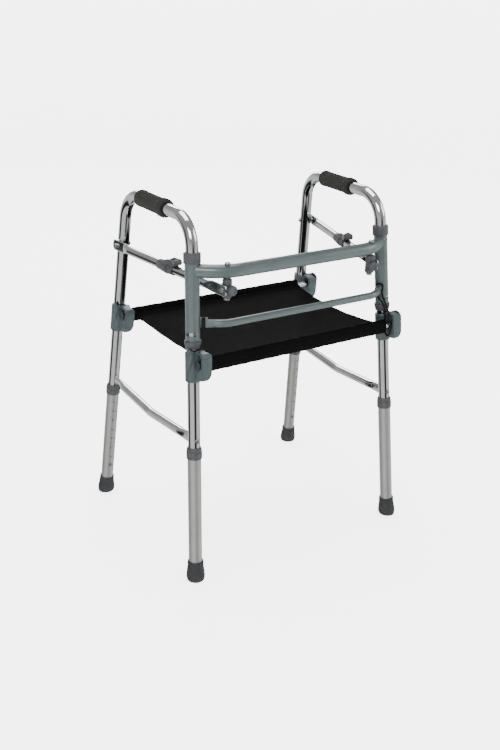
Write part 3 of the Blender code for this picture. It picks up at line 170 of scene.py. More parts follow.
# Seat clips and latches, in a leg's own directions: x right, y to the rear, z up the leg
CLIP_BOTTOM = 0.4410
CLIP_HEIGHT = 0.0610
CLIP_RADIUS = 0.0167
HOOK_LEFT = -0.0050
HOOK_RIGHT = 0.0180
HOOK_FRONT = -0.0455
HOOK_BACK = -0.0060
HOOK_WALL = 0.0060
HOOK_LOW = 0.0090
HOOK_HIGH = 0.0570
HOOK_CORNER = (0.0150, 0.0230)
HOOK_RISER = 0.0045
HOOK_MOUTH = 0.0016        # widening of each wall at the top
HOOK_FOOT = 0.0030         # radius of the lower left edge
LATCH_PIN = (0.0065, -0.0168, 0.0640)
LATCH_LUG_WIDTH = 0.0056
LATCH_LUG_RADIUS = 0.0035
LATCH_HEIGHT = 0.0090
LATCH_PIN_RADIUS = 0.0020
CAP_BEND = 0.0075          # radius of a latch cap's right end
CAP_EASE = 0.0007
CAP_CLEAR = 0.0006         # between a cap and the lug that it turns on
PADDLE_RADIUS = 0.0219
PADDLE_THICKNESS = 0.0024
PADDLE_TURN = radians(217)
PADDLE_LOW = 0.0290
PADDLE_LENGTH = 0.0420
PADDLE_WIDTH = 0.0190
RIGHT_PADDLE_WIDTH = 0.0300
RIGHT_PADDLE_OUT = 0.0085  # beyond the hook's right face

# Seat
ROD_RADIUS = 0.0075
SLOT_GAP = 0.0010
ROD_Y = HOOK_FRONT + HOOK_WALL + ROD_RADIUS + SLOT_GAP
ROD_HEIGHT = 0.4840
ROD_CAP_RADIUS = 0.0095
ROD_CAP_LENGTH = 0.0034
ROD_END_GAP = 0.0012
HEM_HALF_HEIGHT = 0.0170
HEM_HALF_DEPTH = 0.0092
HEM_EXIT = 14              # degrees from level at which the cloth leaves the rods
HEM_END_GAP = 0.0025
SEAM_INWARD = 0.013        # from where the hem turns level to its seam
STITCH_ROWS = 0.0021       # each row's distance from the seam's middle
SIDE_STITCHES = 0.0085     # from the cloth's side edge
THREAD_RADIUS = 0.00038
TETHER_OUT = 0.0115        # from the cloth's right end to the tether's loop
TETHER_HANG = 0.0250
TETHER_BOWS = (-0.0060, -0.0100, 0.006), (0.0, -0.0120, 0.008)

# Studio; the camera's numbers come from its fit to the photograph, in its pixels
AZIMUTH, ELEVATION, ROLL = radians(-33.3), radians(21.2), radians(1.8)
AIM_HEIGHT = 0.4326
CAMERA_DISTANCE = 2.196
PICTURE_HEIGHT = 750
FOCAL_LENGTH = 951.8
SHIFT = (-1.1, -38.4)
PAPER_FLAT, PAPER_CURVE, PAPER_RISE = 4.0, 2.0, 2.6
LAMPS = (                  # name, place, size and power
    ("key_softbox", (-2.2, -2.4, 3.0), 2.0, 100), ("fill_softbox", (2.8, -1.6, 2.0), 2.0, 40),
    ("top_softbox", (0.0, 0.6, 3.4), 2.4, 90), ("rear_softbox", (1.2, 2.8, 2.2), 1.6, 50))


def unit(vector):
    """The vectors along the last axis, each divided by its length."""
    vector = np.asarray(vector, float)
    return vector / np.linalg.norm(vector, axis=-1, keepdims=True)


def side_point(side, y, z):
    """Points of a side frame's plane: x is the half width less the lean, plus the toe-out."""
    x = side * (HALF_WIDTH - tan(SIDE_LEAN) * z + tan(TOE_OUT) * y)
    return np.stack(np.broadcast_arrays(x, y, z), -1).astype(float)


def leg_point(side, end, z):
    return side_point(side, end * (HALF_DEPTH - LEG_SLOPE * z), z)


LEG_STRETCH = float(np.linalg.norm(leg_point(1, 1, 1.0) - leg_point(1, 1, 0.0)))


def place(origin, up, forward=(0.0, -1.0, 0.0)):
    """A local frame: its origin, and its x, y and z as rows, -y as nearly forward as it can."""
    z_axis = unit(up)
    x_axis = unit(np.cross(z_axis, forward))
    return np.asarray(origin, float), np.stack([x_axis, np.cross(z_axis, x_axis), z_axis])


def put(points, at):
    """Local points in world space: origin + x * first row + y * second row + z * third row."""
    return at[0] + np.asarray(points, float) @ at[1]


def within(at, offset=(0, 0, 0), axes=((1, 0, 0), (0, 1, 0), (0, 0, 1))):
    """A frame inside another one: moved by offset, its axes written in the other's directions."""
    return put(offset, at), np.array(axes, float) @ at[1]


def leg_frame(side, end, z):
    return place(leg_point(side, end, z), leg_point(side, end, 1.0) - leg_point(side, end, 0.0))


ACROSS_X = ((0, 0, -1), (0, 1, 0), (1, 0, 0))      # z of a turned piece along the frame's x
FACE_FRONT = ((1, 0, 0), (0, 0, 1), (0, -1, 0))    # z of a plate towards the frame's -y


def brace_frame(side):
    """On a folding brace's rear pivot, x along the brace and z up, and the brace's length."""
    leg = leg_point(side, 1, BRACE_REAR_Z)
    front = SWIVEL * (side, 1, 1)
    along = unit(front - leg)
    for _ in range(8):
        outward = unit(np.cross(along, UP)) * -side
        rear_pin = leg + outward * (LEG_TUBE_RADIUS + BRACE_OFFSET + BRACE_FLAT / 2)
        front_pin = front + outward * (BLOCK_WIDTH / 2 + 2 * GAP + BRACE_FLAT / 2)
        along = unit(front_pin - rear_pin)
    z_axis = unit(UP - along * (UP @ along))
    axes = np.stack([along, np.cross(z_axis, along), z_axis])
    return (rear_pin, axes), float(np.linalg.norm(front_pin - rear_pin))


def brace_plane(side, along=0.0, up=0.0):
    """In the brace's side view: x along it, y up, z across it."""
    return within(brace_frame(side)[0], (along, 0, up), ((1, 0, 0), (0, 0, 1), (0, -1, 0)))


def brace_axis(side, along):
    """On the brace's middle line, z running along the brace."""
    return within(brace_frame(side)[0], (along, 0, 0), ((0, 0, -1), (0, 1, 0), (1, 0, 0)))


def rounded(points, radii, steps=5, closed=False):
    """A polyline whose corners are arcs tangent to both sides, in two or three dimensions.

    An arc's centre is on the corner's bisector, radius / sin(half the angle) away. Its points are
    the two tangent points' directions, blended by sines. All the corners are worked out at once.
    """
    points = np.asarray(points, float)
    radii = np.broadcast_to(np.asarray(radii, float), len(points)).copy()
    if not closed:
        radii[[0, -1]] = 0
    to_before = unit(np.roll(points, 1, 0) - points)
    to_after = unit(np.roll(points, -1, 0) - points)
    half = np.arccos(np.clip((to_before * to_after).sum(-1), -1, 1)) / 2
    half = np.clip(half, 1e-4, pi / 2 - 1e-4)[:, None]
    size = radii[:, None]
    bisector = to_before + to_after
    bisector /= np.maximum(np.linalg.norm(bisector, axis=-1, keepdims=True), 1e-9)
    centre = points + bisector * size / np.sin(half)
    start = points + to_before * size / np.tan(half) - centre
    stop = points + to_after * size / np.tan(half) - centre
    turn = pi - 2 * half[:, None]
    share = np.linspace(0, 1, steps + 1)[None, :, None]
    arcs = np.sin((1 - share) * turn) * start[:, None] + np.sin(share * turn) * stop[:, None]
    path = (centre[:, None] + arcs / np.sin(turn)).reshape(-1, points.shape[1])
    step = np.linalg.norm(np.diff(path, axis=0), axis=-1)
    path = path[np.concatenate([[True], step > 1e-7])]
    if closed and np.linalg.norm(path[0] - path[-1]) < 1e-7:
        path = path[:-1]
    return path


def lengths(path):
    """Distance along a path from its first point to each of its points."""
    steps = np.linalg.norm(np.diff(path, axis=0), axis=-1)
    return np.concatenate([[0], np.cumsum(steps)])


def at_distances(path, distances):
    """Points of a path at given distances from its start."""
    along = lengths(path)
    return np.stack([np.interp(distances, along, path[:, k]) for k in range(path.shape[1])], -1)


def eased(value, low, high):
    """0 before low and 1 after high, and 3t^2 - 2t^3 between them."""
    t = np.clip((np.asarray(value, float) - low) / (high - low), 0, 1)
    return t * t * (3 - 2 * t)


def shell(grid, around=True, ends=(True, True), loop=False, uv=None, outward=None):
    """Faces over a grid of points (rows, columns, 3), with a map in metres along both.

    Columns close into rings where around is true, and rows where loop is true. A ring at either
    end is closed by a fan to its own middle. The faces are turned outwards: the signed volume
    about the middle is positive, or else the faces' area points along outward.
    """
    rows, columns = grid.shape[:2]
    points = grid.reshape(-1, 3)
    wide = columns + 1 if around else columns
    tall = rows + 1 if loop else rows
    if uv is None:
        full = np.concatenate([grid, grid[:, :1]], 1) if around else grid
        u_step = np.linalg.norm(np.diff(full, axis=1), axis=-1).mean(0)
        full = np.concatenate([grid, grid[:1]], 0) if loop else grid
        v_step = np.linalg.norm(np.diff(full, axis=0), axis=-1).mean(1)
        u = np.concatenate([[0], np.cumsum(u_step)])
        v = np.concatenate([[0], np.cumsum(v_step)])
        uv = np.stack(np.broadcast_arrays(u[None, :], v[:, None]), -1)
    else:
        uv = np.concatenate([uv, uv[:, :1]], 1) if around else uv
    i, j = np.meshgrid(np.arange(tall - 1), np.arange(wide - 1), indexing="ij")
    near = np.stack([i, i, i + 1, i + 1], -1).reshape(-1, 4)
    side = np.stack([j, j + 1, j + 1, j], -1).reshape(-1, 4)
    quads = (near % rows) * columns + side % columns
    quad_uv = uv[near, side]
    triangles = np.zeros((0, 3), int)
    triangle_uv = np.zeros((0, 3, 2))
    for row, wanted in ((0, ends[0]), (rows - 1, ends[1])):
        if wanted and around and not loop:
            first = row * columns + np.arange(columns)
            second = row * columns + (np.arange(columns) + 1) % columns
            middle = np.full(columns, len(points))
            fan = np.stack([second, first, middle] if row == 0 else [first, second, middle], -1)
            points = np.concatenate([points, grid[row].mean(0, keepdims=True)])
            corner = np.stack([uv[row, :-1], uv[row, 1:], uv[row, :-1]], 1)
            triangles = np.concatenate([triangles, fan])
            triangle_uv = np.concatenate([triangle_uv, corner])
    flat = np.concatenate([quads[:, [0, 1, 2]], quads[:, [0, 2, 3]], triangles])
    a, b, c = (points[flat[:, k]] - points.mean(0) for k in range(3))
    area = np.cross(b - a, c - a)
    sense = (a * area).sum() if outward is None else area.sum(0) @ np.asarray(outward, float)
    if sense < 0:
        quads, quad_uv = quads[:, ::-1], quad_uv[:, ::-1]
        triangles, triangle_uv = triangles[:, ::-1], triangle_uv[:, ::-1]
    return points, quads, quad_uv, triangles, triangle_uv


def mesh_of(name, shells, weld=False):
    """One mesh of several shells, each counted on from the last, with its map named metres."""
    points, faces, uvs, first = [], [], [], 0
    for own, quads, quad_uv, triangles, triangle_uv in shells:
        points.append(own)
        faces += (quads + first).tolist() + (triangles + first).tolist()
        uvs += [quad_uv.reshape(-1, 2), triangle_uv.reshape(-1, 2)]
        first += len(own)
    mesh = bpy.data.meshes.new(name)
    mesh.from_pydata(np.concatenate(points).tolist(), [], faces)
    mesh.uv_layers.new(name="metres").data.foreach_set("uv", np.concatenate(uvs).ravel())
    if weld:
        work = bmesh.new()
        work.from_mesh(mesh)
        bmesh.ops.remove_doubles(work, verts=work.verts, dist=2e-6)
        work.to_mesh(mesh)
        work.free()
    mesh.validate()
    return mesh


def made(name, surface, node, *shells, body=None, weld=False, wall=0.0, crease=38):
    """A finished piece in the scene: its mesh, its material, its body and the node it replaces."""
    piece = bpy.data.objects.new(name, mesh_of(name, shells, weld))
    bpy.context.scene.collection.objects.link(piece)
    if wall:
        thick = piece.modifiers.new("wall", "SOLIDIFY")
        thick.thickness = wall
        thick.offset = -1
        thick.use_even_offset = True
        bpy.context.view_layer.update()
        solid = piece.evaluated_get(bpy.context.evaluated_depsgraph_get())
        piece.data = bpy.data.meshes.new_from_object(solid)
        piece.data.name = name
        piece.modifiers.clear()
    piece.data.shade_smooth()
    piece.data.set_sharp_from_angle(angle=radians(crease))
    piece.data.materials.clear()
    piece.data.materials.append(finish(surface))
    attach(piece, body or frame["nodes"][node]["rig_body"])
    if node:
        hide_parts(node)
    return piece


def turned(profile, radii, at, facets=48, closed=False, steps=4):
    """A surface of revolution: a rounded profile's (r, z) goes to (r cos a, r sin a, z)."""
    outline = rounded(profile, radii, steps, closed)
    angle = np.arange(facets) * 2 * pi / facets
    radius, height = outline[:, :1], outline[:, 1:]
    local = np.stack(np.broadcast_arrays(
        radius * np.cos(angle), radius * np.sin(angle), height), -1)
    return shell(put(local, at), loop=closed)


def carried(path, half_thin, half_high, across, facets=32, loop=False, saddles=(None, None)):
    """An oval profile carried along a path.

    At each point it is centre + thin * |cos a|^p * across + high * sin a * up, where across is the
    given direction squared to the path. The power p falls from 1 on a round profile to give flat
    faces to a pressed one. A saddle slides an end ring along the path on to a leg's cylinder.
    """
    count = len(path)
    if loop:
        ahead = unit(np.roll(path, -1, 0) - np.roll(path, 1, 0))
    else:
        ahead = unit(np.gradient(path, axis=0))
    across = np.broadcast_to(np.asarray(across, float), path.shape)
    across = unit(across - ahead * (across * ahead).sum(-1, keepdims=True))
    up = np.cross(ahead, across)
    thin = np.broadcast_to(np.asarray(half_thin, float), count)[:, None, None]
    high = np.broadcast_to(np.asarray(half_high, float), count)[:, None, None]
    angle = ((np.arange(facets) + 0.5) * 2 * pi / facets)[None, :, None]
    power = np.minimum(1.0, thin / high + 0.35)
    x = squared(np.cos(angle), power)
    grid = path[:, None] + across[:, None] * x * thin + up[:, None] * np.sin(angle) * high
    for row, saddle in ((0, saddles[0]), (-1, saddles[1])):
        if saddle is not None:
            toward = -ahead[row] if row == 0 else ahead[row]
            grid[row] = on_cylinder(grid[row], toward, *saddle)
    return shell(grid, loop=loop)


def on_cylinder(points, toward, axis_point, axis, radius):
    """Points slid along toward until they meet a cylinder: the first root of the quadratic."""
    axis = unit(axis)
    off = points - axis_point
    off = off - axis * (off @ axis)[:, None]
    step = toward - axis * (toward @ axis)
    a, b = step @ step, off @ step
    c = (off * off).sum(-1) - radius * radius
    return points + toward * ((-b - np.sqrt(np.maximum(b * b - a * c, 0))) / a)[:, None]


def plate(outline, low, high, at, rounding=0.0005, centre=None, steps=3):
    """A closed outline given thickness along z, with quarter-round edges.

    Towards each face the outline is drawn in along its own normals by rounding * (1 - sin a)
    while its height changes by rounding * (1 - cos a).
    """
    outline = np.asarray(outline, float)
    run = unit(np.roll(outline, -1, 0) - np.roll(outline, 1, 0))
    normal = np.stack([run[:, 1], -run[:, 0]], -1)
    x, y = outline.T
    if (x * np.roll(y, -1) - y * np.roll(x, -1)).sum() < 0:
        normal = -normal
    angle = np.linspace(0, pi / 2, steps + 1)
    inset = rounding * (1 - np.sin(angle))
    rise = rounding * (1 - np.cos(angle))
    inset = np.concatenate([inset, inset[::-1]])
    height = np.concatenate([low + rise, high - rise[::-1]])
    flat = outline[None] - normal[None] * inset[:, None, None]
    level = np.broadcast_to(height[:, None, None], flat.shape[:2] + (1,))
    made_shell = shell(put(np.concatenate([flat, level], -1), at))
    if centre is not None:
        points = made_shell[0]
        points[-2:] = put([(*centre, low), (*centre, high)], at)
    return made_shell


def block(size, middle, at, rounding):
    """A block with rounded edges: a plate whose outline is a rounded rectangle."""
    x, y, z = (s / 2 for s in size)
    signs = ((-1, -1), (1, -1), (1, 1), (-1, 1))
    corners = [(middle[0] + x * a, middle[1] + y * b) for a, b in signs]
    return plate(rounded(corners, rounding, 4, True), middle[2] - z, middle[2] + z, at, rounding)


def arc(centre, radius, start, stop, steps):
    """Points on an arc in a plane, angles in degrees."""
    angle = np.radians(np.linspace(start, stop, steps + 1))
    return np.stack([centre[0] + radius * np.cos(angle), centre[1] + radius * np.sin(angle)], -1)


def squared(value, power):
    """A sine or cosine raised to a power with its sign kept, which squares a circle off."""
    return np.sign(value) * np.abs(value) ** power


def leaf(low, length, width, thickness, at, wrap=None, rows=28, columns=28):
    """A thumb paddle: pointed at the bottom, round at the top, widest at a share of its height.

    At height share h its half width is w/2 * (h/widest)^0.8, above the widest place times
    sqrt(1 - ((h - widest)/(1 - widest))^2). Its section is a superellipse of the power squareness,
    carried round the leg if wrap is given.
    """
    widest, squareness, thin_below = 0.7, 0.55, 0.002
    share = (1 - np.cos(np.linspace(0.02, 0.985, rows) * pi)) / 2
    above = np.clip((share - widest) / (1 - widest), 0, 1)
    half = 0.5 * width * np.clip(share / widest, 0, 1) ** 0.8 * np.sqrt(1 - above * above)
    angle = np.arange(columns) * 2 * pi / columns
    edge = np.minimum(1, half / thin_below)[:, None]
    across = half[:, None] * squared(np.cos(angle), squareness)
    depth = 0.5 * thickness * edge * squared(np.sin(angle), squareness)
    height = np.broadcast_to((low + length * share)[:, None], across.shape)
    if wrap is None:
        local = np.stack([across, height, depth], -1)
    else:
        radius, facing = wrap
        turn = facing + across / radius
        out = radius - thickness / 2 + depth
        local = np.stack([out * np.cos(turn), out * np.sin(turn), height], -1)
    return shell(put(local, at))


def hook(side, end, at):
    """The open hook for a seat rod, as layers from the slot's wall out to the hook's own faces.

    Going down the front wall, round under the rod and up the rear wall, each place has a point on
    the slot and one on the outside. A rounded rectangle between them is the section. The lower
    corners are rounded by narrowing the hook towards its bottom.
    """
    seat = rod_in_clip(side, end)[2]
    width, ease, squareness = ROD_RADIUS + SLOT_GAP, 0.0009, 0.28
    front = np.linspace(HOOK_HIGH, seat, 8)[:-1]
    rear = np.linspace(seat, HOOK_HIGH + HOOK_RISER, 9)[1:]
    angle = np.linspace(pi, 2 * pi, 29)
    widened = [HOOK_MOUTH * (wall - seat) / (HOOK_HIGH - seat) for wall in (front, rear)]
    reach_y = np.where(np.cos(angle) < 0, ROD_Y - HOOK_FRONT, HOOK_BACK - ROD_Y)
    outer_y = ROD_Y + reach_y * squared(np.cos(angle), squareness)
    outer_z = seat - (seat - HOOK_LOW) * np.abs(np.sin(angle)) ** squareness
    inner = np.concatenate([
        np.stack([ROD_Y - width - widened[0], front], -1),
        np.stack([ROD_Y + width * np.cos(angle), seat + width * np.sin(angle)], -1),
        np.stack([ROD_Y + width + widened[1], rear], -1),
    ])
    outer = np.concatenate([
        np.stack([np.full(len(front), HOOK_FRONT), front], -1),
        np.stack([outer_y, outer_z], -1),
        np.stack([np.full(len(rear), HOOK_BACK), rear], -1),
    ])
    depth = np.linalg.norm(outer - inner, axis=-1)
    middle_x, half_x = (HOOK_LEFT + HOOK_RIGHT) / 2, (HOOK_RIGHT - HOOK_LEFT) / 2
    x, t = [], []
    for sign_x, outside in ((-1, False), (1, False), (1, True), (-1, True)):
        corner = ((0, 1), (0.3, 0.3), (1, 0))
        for off_x, off_t in corner if (sign_x > 0) == outside else corner[::-1]:
            inset = off_t * ease / depth
            x.append(np.full(len(depth), middle_x + sign_x * (half_x - off_x * ease)))
            t.append(1 - inset if outside else inset)
    x, t = np.stack(x, 1), np.stack(t, 1)[..., None]
    yz = inner[:, None] * (1 - t) + outer[:, None] * t
    drop = np.clip((HOOK_LOW + HOOK_FOOT - yz[..., 1]) / HOOK_FOOT, 0, 1)
    x_low = HOOK_LEFT + HOOK_FOOT * (1 - np.sqrt(1 - drop * drop))
    drop = np.clip((HOOK_LOW + HOOK_CORNER[1] - yz[..., 1]) / HOOK_CORNER[1], 0, 0.999)
    x_high = HOOK_RIGHT - HOOK_CORNER[0] * (1 - np.sqrt(1 - drop * drop))
    local = np.concatenate([np.clip(x, x_low, x_high)[..., None], yz], -1)
    return shell(put(local, at))


def rod_in_clip(side, end):
    """Where a seat rod's middle line crosses a clip, in the clip's own directions."""
    axes = leg_frame(side, end, CLIP_BOTTOM)[1]
    return np.array((0, ROD_Y, (ROD_HEIGHT - CLIP_BOTTOM - axes[1, 2] * ROD_Y) / axes[2, 2]))


def rod_line(end):
    return put(rod_in_clip(1, end), leg_frame(1, end, CLIP_BOTTOM))[1:]


def hook_span(side, end):
    """The left and right faces of a hook, in world x."""
    middle = float(leg_point(side, end, ROD_HEIGHT)[0])
    return middle + HOOK_LEFT, middle + HOOK_RIGHT


def ring(outer, inner, low, high, at, ease=0.0008, facets=48):
    """A plain ring with eased outer edges."""
    corners = [(inner, low), (outer, low), (outer, high), (inner, high)]
    return turned(corners, [0.0002, ease, ease, 0.0002], at, facets, True)


def lower_bar_end(side):
    """The lower crossbar's bend, the direction of its pressed end, and where that end stops."""
    axis = leg_point(side, -1, LOWER_BAR_HEIGHT)
    corner = np.array((side * LOWER_BAR_HALF_RUN, LOWER_BAR_Y, LOWER_BAR_HEIGHT))
    beside = (LUG_THICKNESS + BRACE_FLAT) / 2 + GAP
    along = unit(axis - corner)
    for _ in range(8):
        aim = axis + np.array((along[1] * side, -along[0] * side, 0)) * beside
        along = unit(aim - corner)
    return corner, along, aim - along * (SLEEVE_RADIUS + 0.0016)


# Materials

def linear(colour):
    """An sRGB colour, six hex digits, as linear red, green, blue and alpha."""
    channels = np.array([int(colour[i:i + 2], 16) / 255 for i in (0, 2, 4)])
    low = channels / 12.92
    high = ((channels + 0.055) / 1.055) ** 2.4
    return (*np.where(channels <= 0.04045, low, high).tolist(), 1.0)


def add(tree, kind, *values, stops=(), **named):
    """A node: values go to its usable inputs in order, named ones to an input or a setting.

    A value is a number, a socket, or another node, which stands for its first usable output. A
    capital letter starts an input's name. Stops are a colour ramp's places and hex colours.
    """
    node = tree.nodes.new("ShaderNode" + kind)
    inputs = {key: named.pop(key) for key in list(named) if key[0].isupper()}
    for key, value in named.items():
        setattr(node, key, value)
    pairs = list(zip((socket for socket in node.inputs if socket.enabled), values))
    pairs += [(node.inputs[key.replace("_", " ")], value) for key, value in inputs.items()]
    for socket, value in pairs:
        if isinstance(value, bpy.types.Node):
            value = next(output for output in value.outputs if output.enabled)
        if isinstance(value, bpy.types.NodeSocket):
            tree.links.new(value, socket)
        else:
            socket.default_value = value
    for number, (where, colour) in enumerate(stops):
        points = node.color_ramp.elements
        point = points[number] if number < 2 else points.new(where)
        point.position, point.color = where, linear(colour)
    return node


def bright_dipped_tube(tree, own):
    """Drawn aluminium tube, polished and bright dipped.

    It mirrors the room. Lines from drawing run along it, about 0.5 mm apart, and handling leaves a
    cloudy film that dulls some of the reflection.
    """
    along = add(tree, "Mapping", own["UV"], Scale=(2000, 12, 1))
    drawn = add(tree, "TexNoise", along, 1.0, 2.0)
    film = add(tree, "TexNoise", own["Object"], 22.0, 5.0)
    return add(
        tree, "BsdfPrincipled", Metallic=1.0,
        Base_Color=add(tree, "ValToRGB", film, stops=[(0.3, "D3D5D6"), (0.7, "C2C4C5")]),
        Roughness=add(tree, "MapRange", film, 0.35, 0.75, 0.045, 0.13),
        Normal=add(tree, "Bump", Height=drawn, Strength=0.10, Distance=0.0001))


def satin_anodised_tube(tree, own):
    """Extruded aluminium tube, etched and clear anodised.

    Etching leaves a fine even grain of about 0.3 mm that softens every reflection. The upper tube
    has rubbed faint rings and lines along it.
    """
    along = add(tree, "Mapping", own["UV"], Scale=(1400, 25, 1))
    lines = add(tree, "TexNoise", along, 1.0, 3.0)
    grain = add(tree, "TexNoise", own["Object"], 3300.0, 1.0)
    patch = add(tree, "TexNoise", own["Object"], 30.0, 4.0)
    height = add(tree, "Math", grain, lines, operation="ADD")
    return add(
        tree, "BsdfPrincipled", Metallic=1.0,
        Base_Color=add(tree, "ValToRGB", patch, stops=[(0.3, "D6D6D2"), (0.7, "CBCBC7")]),
        Roughness=add(tree, "MapRange", lines, 0.3, 0.7, 0.50, 0.62),
        Normal=add(tree, "Bump", Height=height, Strength=0.15, Distance=0.0001))


def powder_coat(tree, own):
    """Polyester powder coat on metal tube, baked.

    It flows out to a soft gloss with an orange peel of about 1.5 mm, and is a little thinner and
    lighter where it was rubbed.
    """
    paint = tuple(bpy.context.scene.walker_colours.paint)
    peel = add(tree, "TexNoise", own["Object"], 650.0, 2.0)
    cloud = add(tree, "TexNoise", own["Object"], 16.0, 6.0)
    tone = add(tree, "MapRange", cloud, 0.3, 0.7, 0.94, 1.07)
    return add(
        tree, "BsdfPrincipled", Metallic=0.0, IOR=1.5, Coat_Weight=0.35, Coat_Roughness=0.12,
        Base_Color=add(tree, "VectorMath", paint, tone, operation="MULTIPLY"),
        Roughness=add(tree, "MapRange", cloud, 0.3, 0.7, 0.30, 0.42),
        Normal=add(tree, "Bump", Height=peel, Strength=0.22, Distance=0.0003))


def moulded_plastic(tree, own, low, high, roughness, ior):
    """Injection-moulded plastic with a spark-eroded texture.

    The mould leaves a fine pebble of about 0.6 mm that spreads highlights, and the pigment flows
    into slightly lighter and darker clouds.
    """
    pebble = add(tree, "TexNoise", own["Object"], 1600.0, 2.0)
    flow = add(tree, "TexNoise", own["Object"], 45.0, 5.0, Distortion=0.6)
    return add(
        tree, "BsdfPrincipled", Metallic=0.0, IOR=ior,
        Base_Color=add(tree, "ValToRGB", flow, stops=[(0.3, low), (0.7, high)]),
        Roughness=add(tree, "MapRange", flow, 0.3, 0.7, roughness - 0.06, roughness + 0.06),
        Normal=add(tree, "Bump", Height=pebble, Strength=0.25, Distance=0.0002))


def zinc_plate(tree, own):
    """Steel, zinc plated and clear passivated.

    It has a soft metallic grey with a faint yellow and blue bloom, duller than polished tube.
    """
    bloom = add(tree, "TexNoise", own["Object"], 260.0, 4.0)
    tones = [(0.3, "8E9093"), (0.5, "A3A29C"), (0.7, "99968A")]
    return add(
        tree, "BsdfPrincipled", Metallic=1.0,
        Base_Color=add(tree, "ValToRGB", bloom, stops=tones),
        Roughness=add(tree, "MapRange", bloom, 0.3, 0.7, 0.24, 0.42),
        Normal=add(tree, "Bump", Height=bloom, Strength=0.1, Distance=0.0002))


def moulded_rubber(tree, own):
    """Compression-moulded rubber.

    It is dull, with a fine pitted skin of about 0.8 mm, and greyer with dust towards the floor.
    """
    pit = add(tree, "TexNoise", own["Object"], 1250.0, 3.0)
    dust = add(tree, "TexNoise", own["Object"], 120.0, 6.0)
    height = add(tree, "SeparateXYZ", own["Object"]).outputs["Z"]
    low = add(tree, "MapRange", height, 0.0, 0.022, 0.45, 0.0)
    amount = add(tree, "Math", low, dust, operation="MULTIPLY")
    tones = linear("131619"), linear("2C2B29")
    return add(
        tree, "BsdfPrincipled", Metallic=0.0, IOR=1.52,
        Base_Color=add(tree, "Mix", amount, *tones, data_type="RGBA"),
        Roughness=add(tree, "MapRange", dust, 0.3, 0.7, 0.58, 0.78),
        Normal=add(tree, "Bump", Height=pit, Strength=0.3, Distance=0.0003))


def closed_cell_foam(tree, own):
    """Extruded closed-cell nitrile foam.

    Its skin shows cells of about 0.9 mm as tiny pits, and it scatters light so evenly that it has
    no highlight, only a soft bloom at grazing angles.
    """
    cells = add(tree, "TexVoronoi", own["Object"], Scale=1100.0)
    tone = add(tree, "TexNoise", own["Object"], 70.0, 5.0)
    tones = linear("232320"), linear("1A1A18")
    return add(
        tree, "BsdfPrincipled", Metallic=0.0, IOR=1.45, Specular_IOR_Level=0.1,
        Base_Color=add(tree, "Mix", tone, *tones, data_type="RGBA"),
        Roughness=add(tree, "MapRange", cells, 0.0, 0.8, 0.95, 0.8),
        Normal=add(tree, "Bump", Height=cells, Strength=0.5, Distance=0.0004))


def woven_polyester(tree, own):
    """Black polyester in a plain weave of thick yarn, coated on the back.

    Warp and weft cross over and under, and the light that catches alternate yarns is painted into
    the colour as a checker of highlight and shade. The real yarns are 0.6 mm apart; they are drawn
    1.6 mm apart so that the weave shows at all.
    """
    fabric = tuple(bpy.context.scene.walker_colours.fabric)
    turns = pi / bpy.context.scene.walker_sizes.yarn_spacing
    yarn = add(tree, "SeparateXYZ", own["UV"]).outputs
    warp, weft = (add(tree, "Math", yarn[axis], turns, operation="MULTIPLY") for axis in "XY")
    waves = [add(tree, "Math", angle, operation="SINE") for angle in (warp, weft)]
    over = add(tree, "Math", *waves, operation="MULTIPLY")
    high = add(tree, "Math", over, operation="ABSOLUTE")
    slub = add(tree, "TexNoise", own["UV"], 420.0, 3.0)
    # Painted highlight and shade: yarns that lie over are lighter in the colour, those under
    # darker; the slub is the yarn's own tone.
    mixed = add(tree, "Math", over, slub, operation="ADD")
    tone = add(tree, "MapRange", mixed, -0.4, 1.4, 0.72, 1.5)
    cloud = add(tree, "TexNoise", own["Object"], 14.0, 5.0)
    worn = add(tree, "MapRange", cloud, 0.3, 0.7, 0.9, 1.2)
    level = add(tree, "Math", tone, worn, operation="MULTIPLY")
    return add(
        tree, "BsdfPrincipled", Metallic=0.0, IOR=1.5, Specular_IOR_Level=0.03,
        Base_Color=add(tree, "VectorMath", fabric, level, operation="MULTIPLY"),
        Roughness=add(tree, "MapRange", high, 0.0, 1.0, 0.86, 0.6),
        Normal=add(tree, "Bump", Height=high, Strength=0.45, Distance=0.0004))


def braided_elastic(tree, own):
    """Rubber core under a braided polyester sheath.

    Two sets of yarn wind round it in opposite directions, 1.3 mm apart, and cross in diamonds.
    """
    yarn = add(tree, "SeparateXYZ", own["UV"]).outputs
    u = add(tree, "Math", yarn["X"], 2500.0, operation="MULTIPLY")
    v = add(tree, "Math", yarn["Y"], 2400.0, operation="MULTIPLY")
    winds = [add(tree, "Math", u, v, operation=way) for way in ("ADD", "SUBTRACT")]
    waves = [add(tree, "Math", wind, operation="SINE") for wind in winds]
    diamond = add(tree, "Math", *waves, operation="MULTIPLY")
    return add(
        tree, "BsdfPrincipled", Metallic=0.0, IOR=1.5, Specular_IOR_Level=0.1,
        Base_Color=add(tree, "ValToRGB", diamond, stops=[(0.0, "070707"), (0.6, "131314")]),
        Roughness=add(tree, "MapRange", diamond, 0.0, 1.0, 0.85, 0.6),
        Normal=add(tree, "Bump", Height=diamond, Strength=0.6, Distance=0.0003))


def studio_paper(tree, own):
    """Matt seamless paper: white, with a barely visible fibre."""
    fibre = add(tree, "TexNoise", own["Object"], 60.0, 4.0)
    return add(
        tree, "BsdfPrincipled", Metallic=0.0, IOR=1.45, Roughness=0.9,
        Emission_Color=linear("FFFFFF"), Emission_Strength=3.2,
        Base_Color=add(tree, "ValToRGB", fibre, stops=[(0.3, "F4F4F4"), (0.7, "F8F8F8")]))


